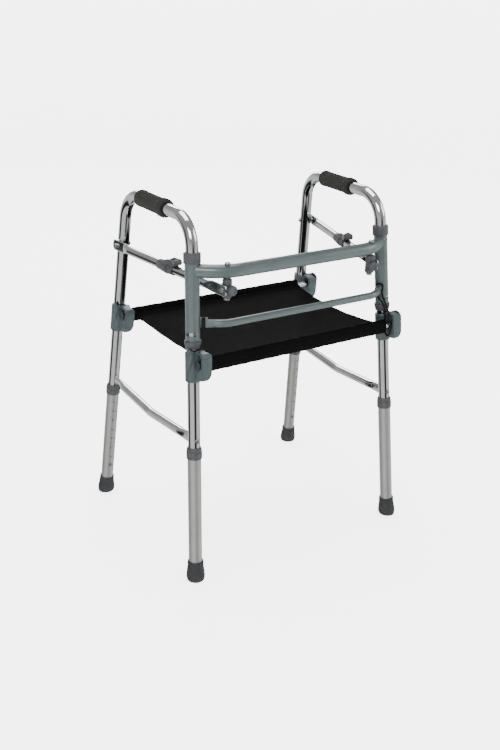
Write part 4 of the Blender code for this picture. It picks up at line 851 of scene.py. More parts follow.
# By slot. The rods' plugs have a finish of their own, but the record has no slot for it.
FINISHES = {
    "bright_tube": ("bright_dipped_tube", bright_dipped_tube),
    "aluminium": ("satin_anodised_tube", satin_anodised_tube),
    "paint": ("grey_green_powder_coat", powder_coat),
    "clip_plastic": ("moulded_abs", moulded_plastic, "253134", "202A2C", 0.42, 1.54),
    "plug_plastic": ("black_nylon", moulded_plastic, "15171A", "101214", 0.50, 1.53),
    "grey_plastic": ("moulded_nylon", moulded_plastic, "2A2C2F", "242629", 0.50, 1.53),
    "zinc": ("zinc_plated_steel", zinc_plate),
    "rubber": ("moulded_grey_rubber", moulded_rubber),
    "foam": ("closed_cell_foam", closed_cell_foam),
    "seat_fabric": ("woven_black_polyester", woven_polyester),
    "elastic": ("braided_elastic_sheath", braided_elastic),
    "paper": ("seamless_paper", studio_paper),
}
NO_SLOT = "plug_plastic"


def finish(slot):
    """A slot's material, made when it is first asked for."""
    name, maker, *settings = FINISHES[slot]
    material = bpy.data.materials.get(name)
    if material is None:
        material = bpy.data.materials.new(name)
        material.use_nodes = True
        material["finish"] = name
        tree = material.node_tree
        tree.nodes.clear()
        shader = maker(tree, add(tree, "TexCoord").outputs, *settings)
        add(tree, "OutputMaterial", Surface=shader)
    return material


# Settings

def metres(name, description, default, low, high):
    """A length in metres that a user may change."""
    return FloatProperty(name=name, description=description, default=default, min=low, max=high,
                         precision=4, unit="LENGTH")


def tint(name, description, colour):
    return FloatVectorProperty(name=name, description=description, default=linear(colour)[:3],
                               min=0, max=1, subtype="COLOR")


class WalkerSizes(bpy.types.PropertyGroup):
    """Sizes of the walker that a user may change."""

    tube_radius: metres(
        "Tube radius", "Outer radius of the side frames' bent tube", 0.0127, 0.005, 0.02)
    grip_radius: metres("Grip radius", "Outer radius of the foam grips", 0.0178, 0.014, 0.03)
    hole_pitch: metres(
        "Hole pitch", "Distance from one height hole to the next", 0.0254, 0.015, 0.04)
    hole_radius: metres(
        "Hole radius", "Radius of the height holes in the lower legs", 0.0041, 0.002, 0.006)
    hole_count: IntProperty(
        name="Height holes", description="Number of height holes in each lower leg",
        default=8, min=1, max=9)
    cloth_width: metres(
        "Seat width", "Width of the seat's cloth from hem end to hem end", 0.4530, 0.3, 0.46)
    cloth_thickness: metres(
        "Cloth thickness", "Thickness of the seat's cloth", 0.0011, 0.0004, 0.002)
    seat_sag: metres("Seat sag", "Depth of the seat's sag between its rods", 0.0120, 0.0, 0.03)
    edge_draw_in: metres(
        "Edge draw-in", "How far the cloth's sides are pulled in between the rods",
        0.0050, 0.0, 0.02)
    stitch_pitch: metres(
        "Stitch pitch", "Length of one stitch and the gap after it", 0.0045, 0.002, 0.01)
    yarn_spacing: metres(
        "Yarn spacing", "Distance between neighbouring yarns of the seat's weave",
        0.0016, 0.0005, 0.004)
    tether_radius: metres(
        "Tether radius", "Radius of the elastic loop that ties the seat", 0.0019, 0.0008, 0.003)


class WalkerColours(bpy.types.PropertyGroup):
    """Colours of the walker that a user may change."""

    paint: tint("Paint", "Colour of the painted front frame", "303A3A")
    fabric: tint("Fabric", "Colour of the seat's yarn", "040404")


# Paths and surfaces of single pieces

def trimmed(path, start, stop, rows):
    """A path without its first and last lengths, at evenly spaced rows."""
    total = lengths(path)[-1]
    return at_distances(path, np.linspace(start, total - stop, rows))


def handle_path(side):
    corner_y = HALF_DEPTH - LEG_SLOPE * HANDLE_HEIGHT
    corners = [
        leg_point(side, -1, TUBE_END), side_point(side, -corner_y, HANDLE_HEIGHT),
        side_point(side, corner_y, HANDLE_HEIGHT), leg_point(side, 1, TUBE_END)]
    return rounded(corners, [0, HANDLE_BEND, HANDLE_BEND, 0], 30)


def side_normal(side):
    """Square to a side frame's plane."""
    origin = side_point(side, 0, 0)
    return unit(np.cross(side_point(side, 0.1, 0) - origin, side_point(side, 0, 0.1) - origin))


def leg_axis(side, end):
    """A point on a leg's axis and the axis's direction."""
    foot = leg_point(side, end, 0.0)
    return foot, unit(leg_point(side, end, 1.0) - foot)


def round_hole(radius, hole):
    """A drilled hole's rim as a function of direction, unrolled: s is radius * asin(x / radius)."""
    def rim(angle):
        x, h = hole * np.cos(angle), hole * np.sin(angle)
        return np.stack([radius * np.arcsin(x / radius), h], -1)
    return rim


def long_slot(half, rise):
    """A slot with round ends: the nearest point on its middle line, plus a circle about it."""
    def rim(angle):
        x, h = np.cos(angle), np.sin(angle)
        return np.stack([half * np.clip(x * 1.6, -1, 1) + rise * x, rise * h], -1)
    return rim


def drilled(at, radius, span, facing, holes, cell, rim):
    """The outside of a tube: a patch round each hole, the plain wall beside them, and two ends.

    A patch lies between a hole's rim and its cell's edge, rim * (1 - t) + edge * t, where the
    point at arc length s and height h goes to the angle s / radius.
    """
    reach, half = cell
    run, rise = np.linspace(-reach, reach, 9)[:-1], np.linspace(-half, half, 9)[:-1]
    edge = np.concatenate([
        np.stack([run, np.full(8, -half)], -1), np.stack([np.full(8, reach), rise], -1),
        np.stack([-run, np.full(8, half)], -1), np.stack([np.full(8, -reach), -rise], -1)])
    t = np.array([0, 0.08, 0.3, 0.65, 1.0])[:, None, None]
    patch = rim(np.arctan2(edge[:, 1] / half, edge[:, 0] / reach)) * (1 - t) + edge * t

    def wrapped(s, h):
        turn = facing + s / radius
        local = np.stack([radius * np.cos(turn), radius * np.sin(turn), h], -1)
        return put(local, at), np.stack([s, h], -1)

    out = np.array((cos(facing), sin(facing), 0)) @ at[1]
    shells = []
    for height in holes:
        points, uv = wrapped(patch[..., 0], patch[..., 1] + height)
        shells.append(shell(points, ends=(False, False), uv=uv, outward=out))
    bottom, top = holes[0] - half, holes[-1] + half
    whole = 2 * pi * radius
    beside = np.linspace(reach, whole - reach, 41)
    points, uv = wrapped(*np.meshgrid(beside, np.linspace(bottom, top, 8 * len(holes) + 1)))
    shells.append(shell(points, around=False, uv=uv, outward=-out))
    full = np.concatenate([run, beside])[:-1]
    for start, stop in ((span[0], bottom), (top, span[1])):
        points, uv = wrapped(*np.meshgrid(full, np.linspace(start, stop, 4)))
        shells.append(shell(points, ends=(False, False), uv=uv))
    return shells


def dome(radius, rise, low, at):
    """A shallow rivet head: height above its base is rise * sqrt(1 - (r / radius)^2)."""
    angle = np.linspace(0, pi / 2 * 0.94, 8)
    profile = np.stack([radius * np.cos(angle), low + rise * np.sin(angle)], -1)
    profile = np.concatenate([[(radius, low - 0.0008)], profile])
    return turned(profile, 0, at, 28, steps=1)


def pressed(distance, radius, half_flat, flat_until, round_from):
    """Half thickness and half height of a bar pressed flat at its end.

    It grows from flat to round between two distances from the end, and the flat's own corner is a
    quarter ellipse, as long as corner_length.
    """
    corner_length, corner_share = 0.006, 0.45
    share = eased(distance, flat_until, round_from)
    thin = BRACE_FLAT / 2 + (radius - BRACE_FLAT / 2) * share
    corner = np.sqrt(1 - (1 - np.clip(distance / corner_length, 0, 1)) ** 2)
    high = half_flat + (radius - half_flat) * share
    return thin, high * (1 - corner_share + corner_share * corner)


# Operators, one for a piece or a group of like pieces

class WALKER_OT_handle_tubes(bpy.types.Operator):
    """Makes the bent upper tubes: a circle carried down a leg, over the handle and down again"""

    bl_idname = "walker.handle_tubes"
    bl_label = "Handle tubes"

    def execute(self, context):
        radius = context.scene.walker_sizes.tube_radius
        for name, side in SIDES.items():
            path = trimmed(handle_path(side), 0, 0, 260)
            tube = carried(path, radius, radius, side_normal(side), 56)
            made(f"bent_tube_{name}", "bright_tube", f"handle_tube_{name}", tube)
        return {"FINISHED"}


class WALKER_OT_lower_legs(bpy.types.Operator):
    """Makes the sliding lower legs, each a sheet wrapped on a cylinder with holes left in it"""

    bl_idname = "walker.lower_legs"
    bl_label = "Lower legs"

    def execute(self, context):
        sizes = context.scene.walker_sizes
        first, pitch = BUTTON_HEIGHT * LEG_STRETCH, sizes.hole_pitch
        holes = [first + pitch * i for i in range(sizes.hole_count)]
        circle = round_hole(LEG_RADIUS, sizes.hole_radius)
        span = (LEG_END * LEG_STRETCH, LEG_TOP * LEG_STRETCH)
        for name, side, end_name, end in LEGS:
            shells = drilled(leg_frame(side, end, 0), LEG_RADIUS, span, -end * pi / 2, holes,
                             (HOLE_PATCH, pitch / 2), circle)
            made(f"sliding_leg_{end_name}_{name}", "aluminium", f"lower_leg_{end_name}_{name}",
                 *shells, weld=True, wall=LEG_RADIUS - LEG_BORE)
        return {"FINISHED"}


class WALKER_OT_collars(bpy.types.Operator):
    """Makes the collars on top of the lower legs, turned with a long shallow shoulder"""

    bl_idname = "walker.collars"
    bl_label = "Leg collars"

    def execute(self, context):
        bottom, top = COLLAR_BOTTOM * LEG_STRETCH, COLLAR_TOP * LEG_STRETCH
        shoulder = LEG_TOP * LEG_STRETCH + GAP
        radius, rim, groove = COLLAR_RADIUS, COLLAR_RADIUS - 0.0004, COLLAR_RADIUS - 0.0009
        profile = [
            (LEG_BORE, top), (radius - 0.0022, top), (rim, top - 0.0060), (rim, top - 0.0085),
            (groove, top - 0.0089), (groove, top - 0.0097), (radius, top - 0.0101),
            (radius, bottom), (LEG_RADIUS + GAP, bottom), (LEG_RADIUS + GAP, shoulder),
            (LEG_BORE, shoulder)]
        ease = [0.0003, 0.0008, 0.001, *[0.0001] * 4, 0.0008, 0.0002, 0, 0]
        for name, side, end_name, end in LEGS:
            collar = turned(profile, ease, leg_frame(side, end, 0), closed=True)
            made(f"leg_collar_{end_name}_{name}", "grey_plastic", f"collar_{end_name}_{name}",
                 collar)
        return {"FINISHED"}


class WALKER_OT_rubber_tips(bpy.types.Operator):
    """Makes the rubber tips, turned on the legs' axes and cut off level with the floor"""

    bl_idname = "walker.rubber_tips"
    bl_label = "Rubber tips"

    def execute(self, context):
        top, bore = TIP_HEIGHT * LEG_STRETCH, LEG_RADIUS + GAP
        foot, neck = TIP_FOOT_RADIUS, TIP_NECK_RADIUS
        neck_groove, foot_groove = neck - 0.0005, foot - 0.0008
        below_floor = -0.15 * foot
        profile = [
            (bore, LEG_END), (bore, top), (neck, top), (neck, top - 0.0040),
            (neck_groove, top - 0.0045), (neck_groove, top - 0.0054), (neck, top - 0.0059),
            (neck, top - 0.0095), (foot - 0.0004, 0.0150), (foot, 0.0085),
            (foot_groove, 0.0080), (foot_groove, 0.0070), (foot, 0.0065),
            (foot - 0.0014, below_floor)]
        ease = [0, 0.0003, 0.001, *[0.0001] * 4, 0.003, 0.004, *[0.0001] * 4, 0.0005]
        for name, side, end_name, end in LEGS:
            tip = turned(profile, ease, leg_frame(side, end, 0), 64)
            tip[0][:, 2] = np.maximum(tip[0][:, 2], 0)
            made(f"leg_tip_{end_name}_{name}", "rubber", f"rubber_tip_{end_name}_{name}", tip)
        return {"FINISHED"}


class WALKER_OT_grips(bpy.types.Operator):
    """Makes the foam grips, turned round the handles with a flange at the front"""

    bl_idname = "walker.grips"
    bl_label = "Foam grips"

    def execute(self, context):
        sizes = context.scene.walker_sizes
        bore, radius, flange = sizes.tube_radius + GAP, sizes.grip_radius, GRIP_FLANGE
        for name, side in SIDES.items():
            start = side_point(side, GRIP_REAR, HANDLE_HEIGHT)
            stop = side_point(side, GRIP_FRONT, HANDLE_HEIGHT)
            length = float(np.linalg.norm(stop - start))
            profile = [
                (bore, length), (flange - 0.0008, length), (flange, length - 0.0080),
                (flange - 0.0002, length - 0.0140), (radius - 0.0004, length - 0.0190),
                (radius, length - 0.0300), (radius, 0.012), (radius + 0.0009, 0.0080),
                (radius + 0.0004, 0.0), (bore, 0.0)]
            ease = [0.0005, *[0.003] * 4, *[0.004] * 3, 0.003, 0.0005]
            grip = turned(profile, ease, place(start, stop - start, UP), 64, True, 6)
            piece = made(f"grip_{name}", "foam", f"foam_grip_{name}", grip)
        return {"FINISHED"}


class WALKER_OT_side_braces(bpy.types.Operator):
    """Makes the low braces, ovals at the legs that round out to a tube, and their screws"""

    bl_idname = "walker.side_braces"
    bl_label = "Side braces"

    def execute(self, context):
        reach = context.scene.walker_sizes.tube_radius + GAP
        inset, oval_until, round_from = 0.018, 0.012, 0.040
        oval_thin, oval_high = 0.62, 1.16
        for name, side in SIDES.items():
            front, rear = (leg_point(side, end, SIDE_BRACE_END_Z) for end in (-1, 1))
            middle = side_point(side, 0, SIDE_BRACE_MIDDLE_Z)
            bent = rounded([front, middle, rear], [0, SIDE_BRACE_BEND, 0], 12)
            path = trimmed(bent, inset, inset, 110)
            along = lengths(path)
            share = eased(np.minimum(along, along[-1] - along), oval_until, round_from)
            thin = SIDE_BRACE_RADIUS * (oval_thin + (1 - oval_thin) * share)
            high = SIDE_BRACE_RADIUS * (oval_high + (1 - oval_high) * share)
            saddles = [(*leg_axis(side, end), reach) for end in (-1, 1)]
            bar = carried(path, thin, high, side_normal(side), 40, saddles=saddles)
            made(f"low_brace_{name}", "bright_tube", f"side_brace_{name}", bar)
            for end_name, end in ENDS.items():
                face = within(leg_frame(side, end, SIDE_BRACE_END_Z), axes=(
                    (1, 0, 0), (0, 0, -end), (0, end, 0)))
                made(f"brace_screw_{end_name}_{name}", "zinc", None, self.screw(face, reach),
                     body=f"{name}_side")
        return {"FINISHED"}

    def screw(self, face, reach):
        """A round head with a socket, on the leg's far side from the brace."""
        profile = [(0.0016, reach + 0.0012), (0.0016, reach + 0.0026), (0.0044, reach + 0.0020),
                   (0.0048, reach - 0.0010)]
        return turned(profile, [0, 0.0002, 0.0012, 0], face, 32)


class WALKER_OT_sleeves(bpy.types.Operator):
    """Makes the painted sleeves with their lugs, and the plastic rings above and below them"""

    bl_idname = "walker.sleeves"
    bl_label = "Front sleeves and rings"

    def execute(self, context):
        bore = context.scene.walker_sizes.tube_radius + 0.0004
        for name, side in SIDES.items():
            low, top = (leg_frame(side, -1, z) for z in (SLEEVE_BOTTOM, SLEEVE_TOP))
            made(f"sleeve_{name}", "paint", f"front_sleeve_{name}", *self.wall(name, side, low),
                 weld=True, wall=SLEEVE_WALL)
            made(f"sleeve_lug_{name}", "paint", None, self.lug(side), body="front_frame")
            made(f"stop_screw_{name}", "zinc", None, self.stop_screw(low), body=f"{name}_side")
            upper = ring(RING_RADIUS, bore, GAP, UPPER_RING_HEIGHT, top, 0.0013)
            made(f"top_bush_{name}", "grey_plastic", f"upper_ring_{name}", upper)
            profile = [(bore, -GAP), (RING_RADIUS, -GAP), (RING_RADIUS - 0.0004, -0.0074),
                       (RING_RADIUS - 0.0026, -LOWER_RING_DROP), (bore, -LOWER_RING_DROP)]
            lower = turned(profile, [0.0003, 0.001, 0.003, 0.0008, 0.0002], low, closed=True)
            made(f"lower_bush_{name}", "grey_plastic", f"lower_ring_{name}", lower)
        return {"FINISHED"}

    def wall(self, name, side, low):
        """A drilled tube whose slot is as long as the fold's arc, with room for the screw."""
        travel = radians(FOLD_RANGE[name])
        half, margin = SLEEVE_RADIUS * travel / 2 + 0.0008, 0.008
        length = (SLEEVE_TOP - SLEEVE_BOTTOM) * LEG_STRETCH
        return drilled(low, SLEEVE_RADIUS, (0, length), -pi / 2 + side * travel / 2,
                       [STOP_HEIGHT], (half + margin, margin), long_slot(half, STOP_HALF_RISE))

    def lug(self, side):
        out = -lower_bar_end(side)[1]
        at = (leg_point(side, -1, LOWER_BAR_HEIGHT), np.stack([out, np.cross(UP, out), UP]))
        middle = (SLEEVE_RADIUS - 0.5 * SLEEVE_WALL + LUG_LENGTH / 2, 0, 0)
        return block((LUG_LENGTH, LUG_THICKNESS, LUG_HEIGHT), middle, at, 0.0010)

    def stop_screw(self, low):
        """The round head with a socket that runs in the slot."""
        reach = SLEEVE_RADIUS - SLEEVE_WALL - 0.0008
        profile = [(0.0039, reach), (0.0039, reach + 0.0024), (0.0018, reach + 0.0032),
                   (0.0016, reach + 0.0012)]
        return turned(profile, [0, 0.0008, 0.0002, 0],
                      within(low, (0, 0, STOP_HEIGHT), FACE_FRONT), 28)


class WALKER_OT_crossbars(bpy.types.Operator):
    """Makes the two crossbars: ovals carried along bent paths, saddled or pressed at the ends"""

    bl_idname = "walker.crossbars"
    bl_label = "Crossbars and bolts"

    def execute(self, context):
        made("upper_bar", "paint", "upper_crossbar", self.upper())
        made("lower_bar", "paint", "lower_crossbar", self.lower())
        for name, side in SIDES.items():
            made(f"pivot_bolt_{name}", "zinc", f"swivel_bolt_{name}", self.swivel_bolt(side))
        made("bar_band", "elastic", None, self.band(), body="front_frame")
        return {"FINISHED"}

    def upper(self):
        """A round tube, bent back at both ends and saddled on the sleeves."""
        inset = 0.019
        ends = [leg_point(side, -1, UPPER_BAR_HEIGHT) for side in (-1, 1)]
        bends = [(side * UPPER_BAR_HALF_RUN, UPPER_BAR_Y, UPPER_BAR_HEIGHT) for side in (-1, 1)]
        bent = rounded([ends[0], *bends, ends[1]], [0, UPPER_BAR_BEND, UPPER_BAR_BEND, 0], 20)
        saddles = [(*leg_axis(side, -1), SLEEVE_RADIUS + GAP) for side in (-1, 1)]
        return carried(trimmed(bent, inset, inset, 150), UPPER_BAR_RADIUS, UPPER_BAR_RADIUS, UP,
                       56, saddles=saddles)

    def lower(self):
        """A thinner tube, its ends turned back and pressed flat against the lugs."""
        flat_until, round_from = 0.016, 0.032
        left, right = lower_bar_end(-1), lower_bar_end(1)
        bent = rounded([left[2], left[0], right[0], right[2]],
                       [0, LOWER_BAR_BEND, LOWER_BAR_BEND, 0], 20)
        path = trimmed(bent, 0, 0, 220)
        along = lengths(path)
        thin, high = pressed(np.minimum(along, along[-1] - along), LOWER_BAR_RADIUS,
                             LOWER_BAR_FLAT, flat_until, round_from)
        return carried(path, thin, high, (0, 1, 0), 40)

    def band(self):
        """An elastic band round the lug and the bar's left end: a strip on a rounded rectangle."""
        width, thickness, clear = 0.0040, 0.0010, 0.0012
        toward = lower_bar_end(-1)[1]
        forward = np.array((-toward[1], toward[0], 0))
        front, back = LUG_THICKNESS / 2 + GAP + BRACE_FLAT, -LUG_THICKNESS / 2
        deep, tall = (front - back) / 2 + clear, LUG_HEIGHT / 2 + clear
        middle = leg_point(-1, -1, LOWER_BAR_HEIGHT) - toward * BAND_INWARD
        middle = middle + forward * (front + back) / 2
        corners = np.array([(-deep, -tall), (deep, -tall), (deep, tall), (-deep, tall)])
        line = rounded(corners, [0.0024] * 4, 5, True)
        path = middle + line[:, :1] * forward + line[:, 1:] * UP
        return carried(path, width, thickness, toward, 20, loop=True)

    def swivel_bolt(self, side):
        """A round head with a socket above the crossbar and a nut under the bracket."""
        head = 0.0060
        top = UPPER_BAR_HEIGHT + UPPER_BAR_RADIUS + GAP
        low = SWIVEL[2] - BLOCK_HEIGHT / 2 - GAP
        profile = [
            (SOCKET_RADIUS, top + 0.0030), (SOCKET_RADIUS, top + 0.0052), (head, top + 0.0040),
            (head, top), (BOLT_RADIUS, top), (BOLT_RADIUS, low), (head, low), (head, low - 0.0045)]
        at = (np.array((side * SWIVEL[0], SWIVEL[1], 0)), np.eye(3))
        return turned(profile, [0, 0.0002, 0.0020, 0.0002, 0, 0, 0.0004, 0.001], at, 36)


class WALKER_OT_folding_braces(bpy.types.Operator):
    """Makes the folding braces: pressed bars, knuckle halves, pins, bolts and swivel brackets"""

    bl_idname = "walker.folding_braces"
    bl_label = "Folding braces"

    def execute(self, context):
        tube = context.scene.walker_sizes.tube_radius
        for name, side in SIDES.items():
            at, length = brace_frame(side)
            half = BRACE_FLAT_HEIGHT / 2
            rear = self.bar(at, -half, PARTING_ALONG - GAP, False)
            front = self.bar(at, PARTING_ALONG + GAP, length + half, True)
            out = within(brace_plane(side, length), axes=((1, 0, 0), (0, side, 0), (0, 0, -side)))
            rivet = dome(0.0055, 0.0024, BRACE_FLAT / 2, out)
            made(f"rear_bar_{name}", "bright_tube", f"brace_rear_link_{name}", rear)
            made(f"front_bar_{name}", "bright_tube", f"brace_front_link_{name}", front)
            made(f"front_bar_rivet_{name}", "zinc", None, rivet, body=f"{name}_front_link")
            self.knuckle(name, side)
            made(f"leg_bolt_{name}", "zinc", f"brace_bolt_{name}", self.leg_bolt(at, side, tube))
            made(f"swivel_block_{name}", "grey_plastic", f"swivel_bracket_{name}",
                 *self.bracket(at, side))
        return {"FINISHED"}

    def bar(self, at, start, stop, flat_at_front):
        length = stop - start
        distance = np.unique(np.concatenate([
            np.linspace(0, 0.006, 10), np.linspace(0.006, length, 80)]))
        thin, high = pressed(length - distance if flat_at_front else distance, BRACE_RADIUS,
                             BRACE_FLAT_HEIGHT / 2, BRACE_FLAT_LENGTH,
                             BRACE_FLAT_LENGTH + BRACE_TAPER)
        line = np.stack([start + distance, 0 * distance, 0 * distance], -1)
        return carried(put(line, at), thin, high, at[1][1], 40)

    def knuckle(self, name, side):
        """The collar with two cheeks, the sleeve with the ear between them, and the hollow pin."""
        eye = (PIN_ALONG, PIN_RISE)
        bore, reach = BRACE_RADIUS + GAP, EAR_HALF_WIDTH + CHEEK_GAP
        foot, wide, length = PARTING_ALONG - GAP, KNUCKLE_RADIUS + 0.0004, 0.0330
        cheek = np.concatenate([
            [(foot - 0.018, 0.0070), (foot, 0.0070), (foot + 0.0040, PIN_RISE - EAR_RADIUS * 0.9)],
            arc(eye, EAR_RADIUS, -90, 90, 14),
            [(foot + 0.002, PIN_RISE + EAR_RADIUS - 0.0012), (foot - 0.012, PIN_RISE - 0.0025)]])
        centre = (foot + 0.001, PIN_RISE - 0.0040)
        profile = [(bore, -length), (KNUCKLE_RADIUS - 0.0020, -length), (wide, -0.0060),
                   (wide, 0.0), (bore, 0.0)]
        collar = turned(profile, [0.0002, 0.0016, 0.004, 0.0012, 0.0002],
                        brace_axis(side, PARTING_ALONG), closed=True)
        cheeks = [plate(cheek, low, low + CHEEK_THICKNESS, brace_plane(side), 0.0005, centre)
                  for low in (-reach - CHEEK_THICKNESS, reach)]
        made(f"knuckle_collar_{name}", "grey_plastic", f"knuckle_rear_{name}", collar, *cheeks)
        foot = PARTING_ALONG + 0.0008
        ear = np.concatenate([
            [(foot + 0.0010, 0.0080), (foot + 0.0150, 0.0080)],
            arc(eye, EAR_RADIUS, -35, 150, 20)])
        made(f"knuckle_sleeve_{name}", "grey_plastic", f"knuckle_front_{name}",
             ring(KNUCKLE_RADIUS - 0.0008, bore, 0, 0.0165, brace_axis(side, foot), 0.0012),
             plate(ear, -EAR_HALF_WIDTH, EAR_HALF_WIDTH, brace_plane(side), 0.0006, eye))
        lip, hole, edge, neck = reach + CHEEK_THICKNESS + GAP, 0.0025, 0.0048, 0.0050
        half = [(hole, lip + 0.0010), (edge, lip + 0.0010), (neck, lip), (BOLT_RADIUS, lip)]
        profile = half + [(r, -z) for r, z in reversed(half)]
        ease = [0.0004, 0.0006, 0.0002, 0]
        pin = turned(profile, ease + ease[::-1], brace_plane(side, *eye), 32, True)
        made(f"hollow_pin_{name}", "zinc", f"knuckle_pin_{name}", pin)

    def leg_bolt(self, at, side, tube):
        """The bolt through the rear leg, with a washer under the brace's flat end."""
        outward = at[1][1] * side
        start = at[0] - outward * (tube + BRACE_OFFSET + BRACE_FLAT / 2)
        outer = tube + BRACE_OFFSET + BRACE_FLAT + GAP
        inner, head = outer - BRACE_FLAT - 2 * GAP, 0.0058
        profile = [
            (SOCKET_RADIUS, outer + 0.0030), (SOCKET_RADIUS, outer + 0.0060),
            (head, outer + 0.0046), (head, outer), (BOLT_RADIUS, outer), (BOLT_RADIUS, inner),
            (head, inner), (head, tube + GAP), (BOLT_RADIUS, tube + GAP),
            (BOLT_RADIUS, -tube - GAP), (head, -tube - GAP), (0.0040, -tube - 0.0044)]
        ease = [0, 0.0002, 0.002, *[0] * 7, 0.0015, 0.001]
        return turned(profile, ease, place(start, outward, UP), 36)

    def bracket(self, at, side):
        """The block that turns under the upper crossbar, its pad and its round boss."""
        swivel = place(SWIVEL * (side, 1, 1), UP, unit(at[1][0] * (1, 1, 0)))
        under = UPPER_BAR_HEIGHT - UPPER_BAR_RADIUS - SWIVEL[2] - 2 * GAP
        low, inner = -BLOCK_HEIGHT / 2, BLOCK_RADIUS - BLOCK_CHAMFER
        body = turned([(inner, low), (BLOCK_RADIUS, low + BLOCK_CHAMFER),
                       (BLOCK_RADIUS, under - BLOCK_CHAMFER), (inner, under)],
                      [0, 0.0012, 0.0012, 0], swivel)
        pad = block((BLOCK_WIDTH / 2, PAD_DEPTH, BRACE_FLAT_HEIGHT),
                    (side * BLOCK_WIDTH / 4, 0, 0), swivel, 0.0012)
        boss = turned([(BOSS_RADIUS, 0.0005), (BOSS_RADIUS, BOSS_REACH),
                       (BOSS_RADIUS - 0.0045, BOSS_REACH),
                       (BOSS_RADIUS - 0.0050, BOSS_REACH - 0.0012)], [0, 0.0022, 0.0004, 0],
                      within(swivel, axes=FACE_FRONT))
        return body, pad, boss


class WALKER_OT_seat_clips(bpy.types.Operator):
    """Makes the four seat clips: a sleeve round the leg, an open hook and the latch's lug"""

    bl_idname = "walker.seat_clips"
    bl_label = "Seat clips"

    def execute(self, context):
        bore = context.scene.walker_sizes.tube_radius + GAP
        x, y, z = LATCH_PIN
        half = LATCH_LUG_WIDTH / 2
        foot = (LATCH_LUG_WIDTH, 0.005, z - HOOK_HIGH + 0.006)
        middle = (x, y + 0.001, (HOOK_HIGH + z) / 2 - 0.002)
        for name, side, end_name, end in LEGS:
            at = leg_frame(side, end, CLIP_BOTTOM)
            eye = turned([(LATCH_LUG_RADIUS, -half), (LATCH_LUG_RADIUS, half)], 0,
                         within(at, LATCH_PIN, ACROSS_X), 28)
            made(f"clip_body_{end_name}_{name}", "clip_plastic", f"seat_clip_{end_name}_{name}",
                 ring(CLIP_RADIUS, bore, 0, CLIP_HEIGHT, at, 0.0014), hook(side, end, at),
                 block(foot, middle, at, 0.0004), eye)
        return {"FINISHED"}


class WALKER_OT_seat_latches(bpy.types.Operator):
    """Makes the four latches: a cap over the hook's mouth, a pin and a leaf-shaped thumb paddle"""

    bl_idname = "walker.seat_latches"
    bl_label = "Seat latches"

    def execute(self, context):
        _, y, z = LATCH_PIN
        for name, side, end_name, end in LEGS:
            at = leg_frame(side, end, CLIP_BOTTOM)
            if side < 0:
                reach = (-PADDLE_RADIUS * 0.72, HOOK_RIGHT - 0.001)
                paddle = leaf(PADDLE_LOW, PADDLE_LENGTH, PADDLE_WIDTH, PADDLE_THICKNESS, at,
                              (PADDLE_RADIUS, PADDLE_TURN))
            else:
                out = HOOK_RIGHT + RIGHT_PADDLE_OUT
                reach = (HOOK_LEFT + 0.001, out)
                flat = within(at, (out, y - 0.003, 0), ((0, -1, 0), (0, 0, 1), (-1, 0, 0)))
                paddle = leaf(PADDLE_LOW - 0.004, PADDLE_LENGTH - 0.002, RIGHT_PADDLE_WIDTH,
                              PADDLE_THICKNESS, flat)
            pin = turned([(LATCH_PIN_RADIUS, tip) for tip in reach], 0,
                         within(at, (0, y, z), ACROSS_X), 24)
            made(f"latch_{end_name}_{name}", "clip_plastic", f"seat_latch_{end_name}_{name}",
                 self.cap(at), pin, paddle)
        return {"FINISHED"}

    def cap(self, at):
        """An L-shaped section, a front lip under a roof, carried across the hook.

        Its height is scaled by high(x), which falls off along a quarter circle at the right, and
        its rear edge steps forward round the lug.
        """
        low = HOOK_HIGH + GAP
        arch = HOOK_HIGH + HOOK_RISER + GAP + 0.0010
        high, back, lip = low + LATCH_HEIGHT, LATCH_PIN[1] - 0.0002, HOOK_FRONT + HOOK_WALL
        corners = [(HOOK_FRONT, low), (HOOK_FRONT, high), (back, high), (back, arch),
                   (lip, arch), (lip, low)]
        section = rounded(corners, [0.0006, 0.0022, 0.0006, 0.0003, 0.0006, 0.0006], 4, True)
        notch = LATCH_LUG_WIDTH / 2 + CAP_CLEAR
        edges = LATCH_PIN[0] + np.array((-notch - 1e-5, -notch, notch, notch + 1e-5))
        left, right = HOOK_LEFT + CAP_EASE, HOOK_RIGHT - CAP_BEND
        x = np.unique(np.concatenate([
            HOOK_LEFT + CAP_EASE * (1 - np.cos(np.linspace(0, pi / 2, 5))), edges,
            right + CAP_BEND * np.sin(np.linspace(0, pi / 2 * 0.985, 14))]))
        fall = CAP_BEND - np.sqrt(CAP_BEND**2 - np.clip(x - right, 0, None) ** 2)
        inset = CAP_EASE - np.sqrt(
            np.clip(CAP_EASE**2 - np.clip(left - x, 0, None) ** 2, 0, None))
        scale = (LATCH_HEIGHT - fall - inset) / LATCH_HEIGHT
        rear = np.where(np.abs(x - LATCH_PIN[0]) < notch + 5e-6,
                        LATCH_PIN[1] - LATCH_LUG_RADIUS - CAP_CLEAR, back)
        y = np.clip(section[None, :, 0], HOOK_FRONT + inset[:, None], rear[:, None])
        z = low + (section[None, :, 1] - low) * scale[:, None]
        return shell(put(np.stack([np.broadcast_to(x[:, None], y.shape), y, z], -1), at))


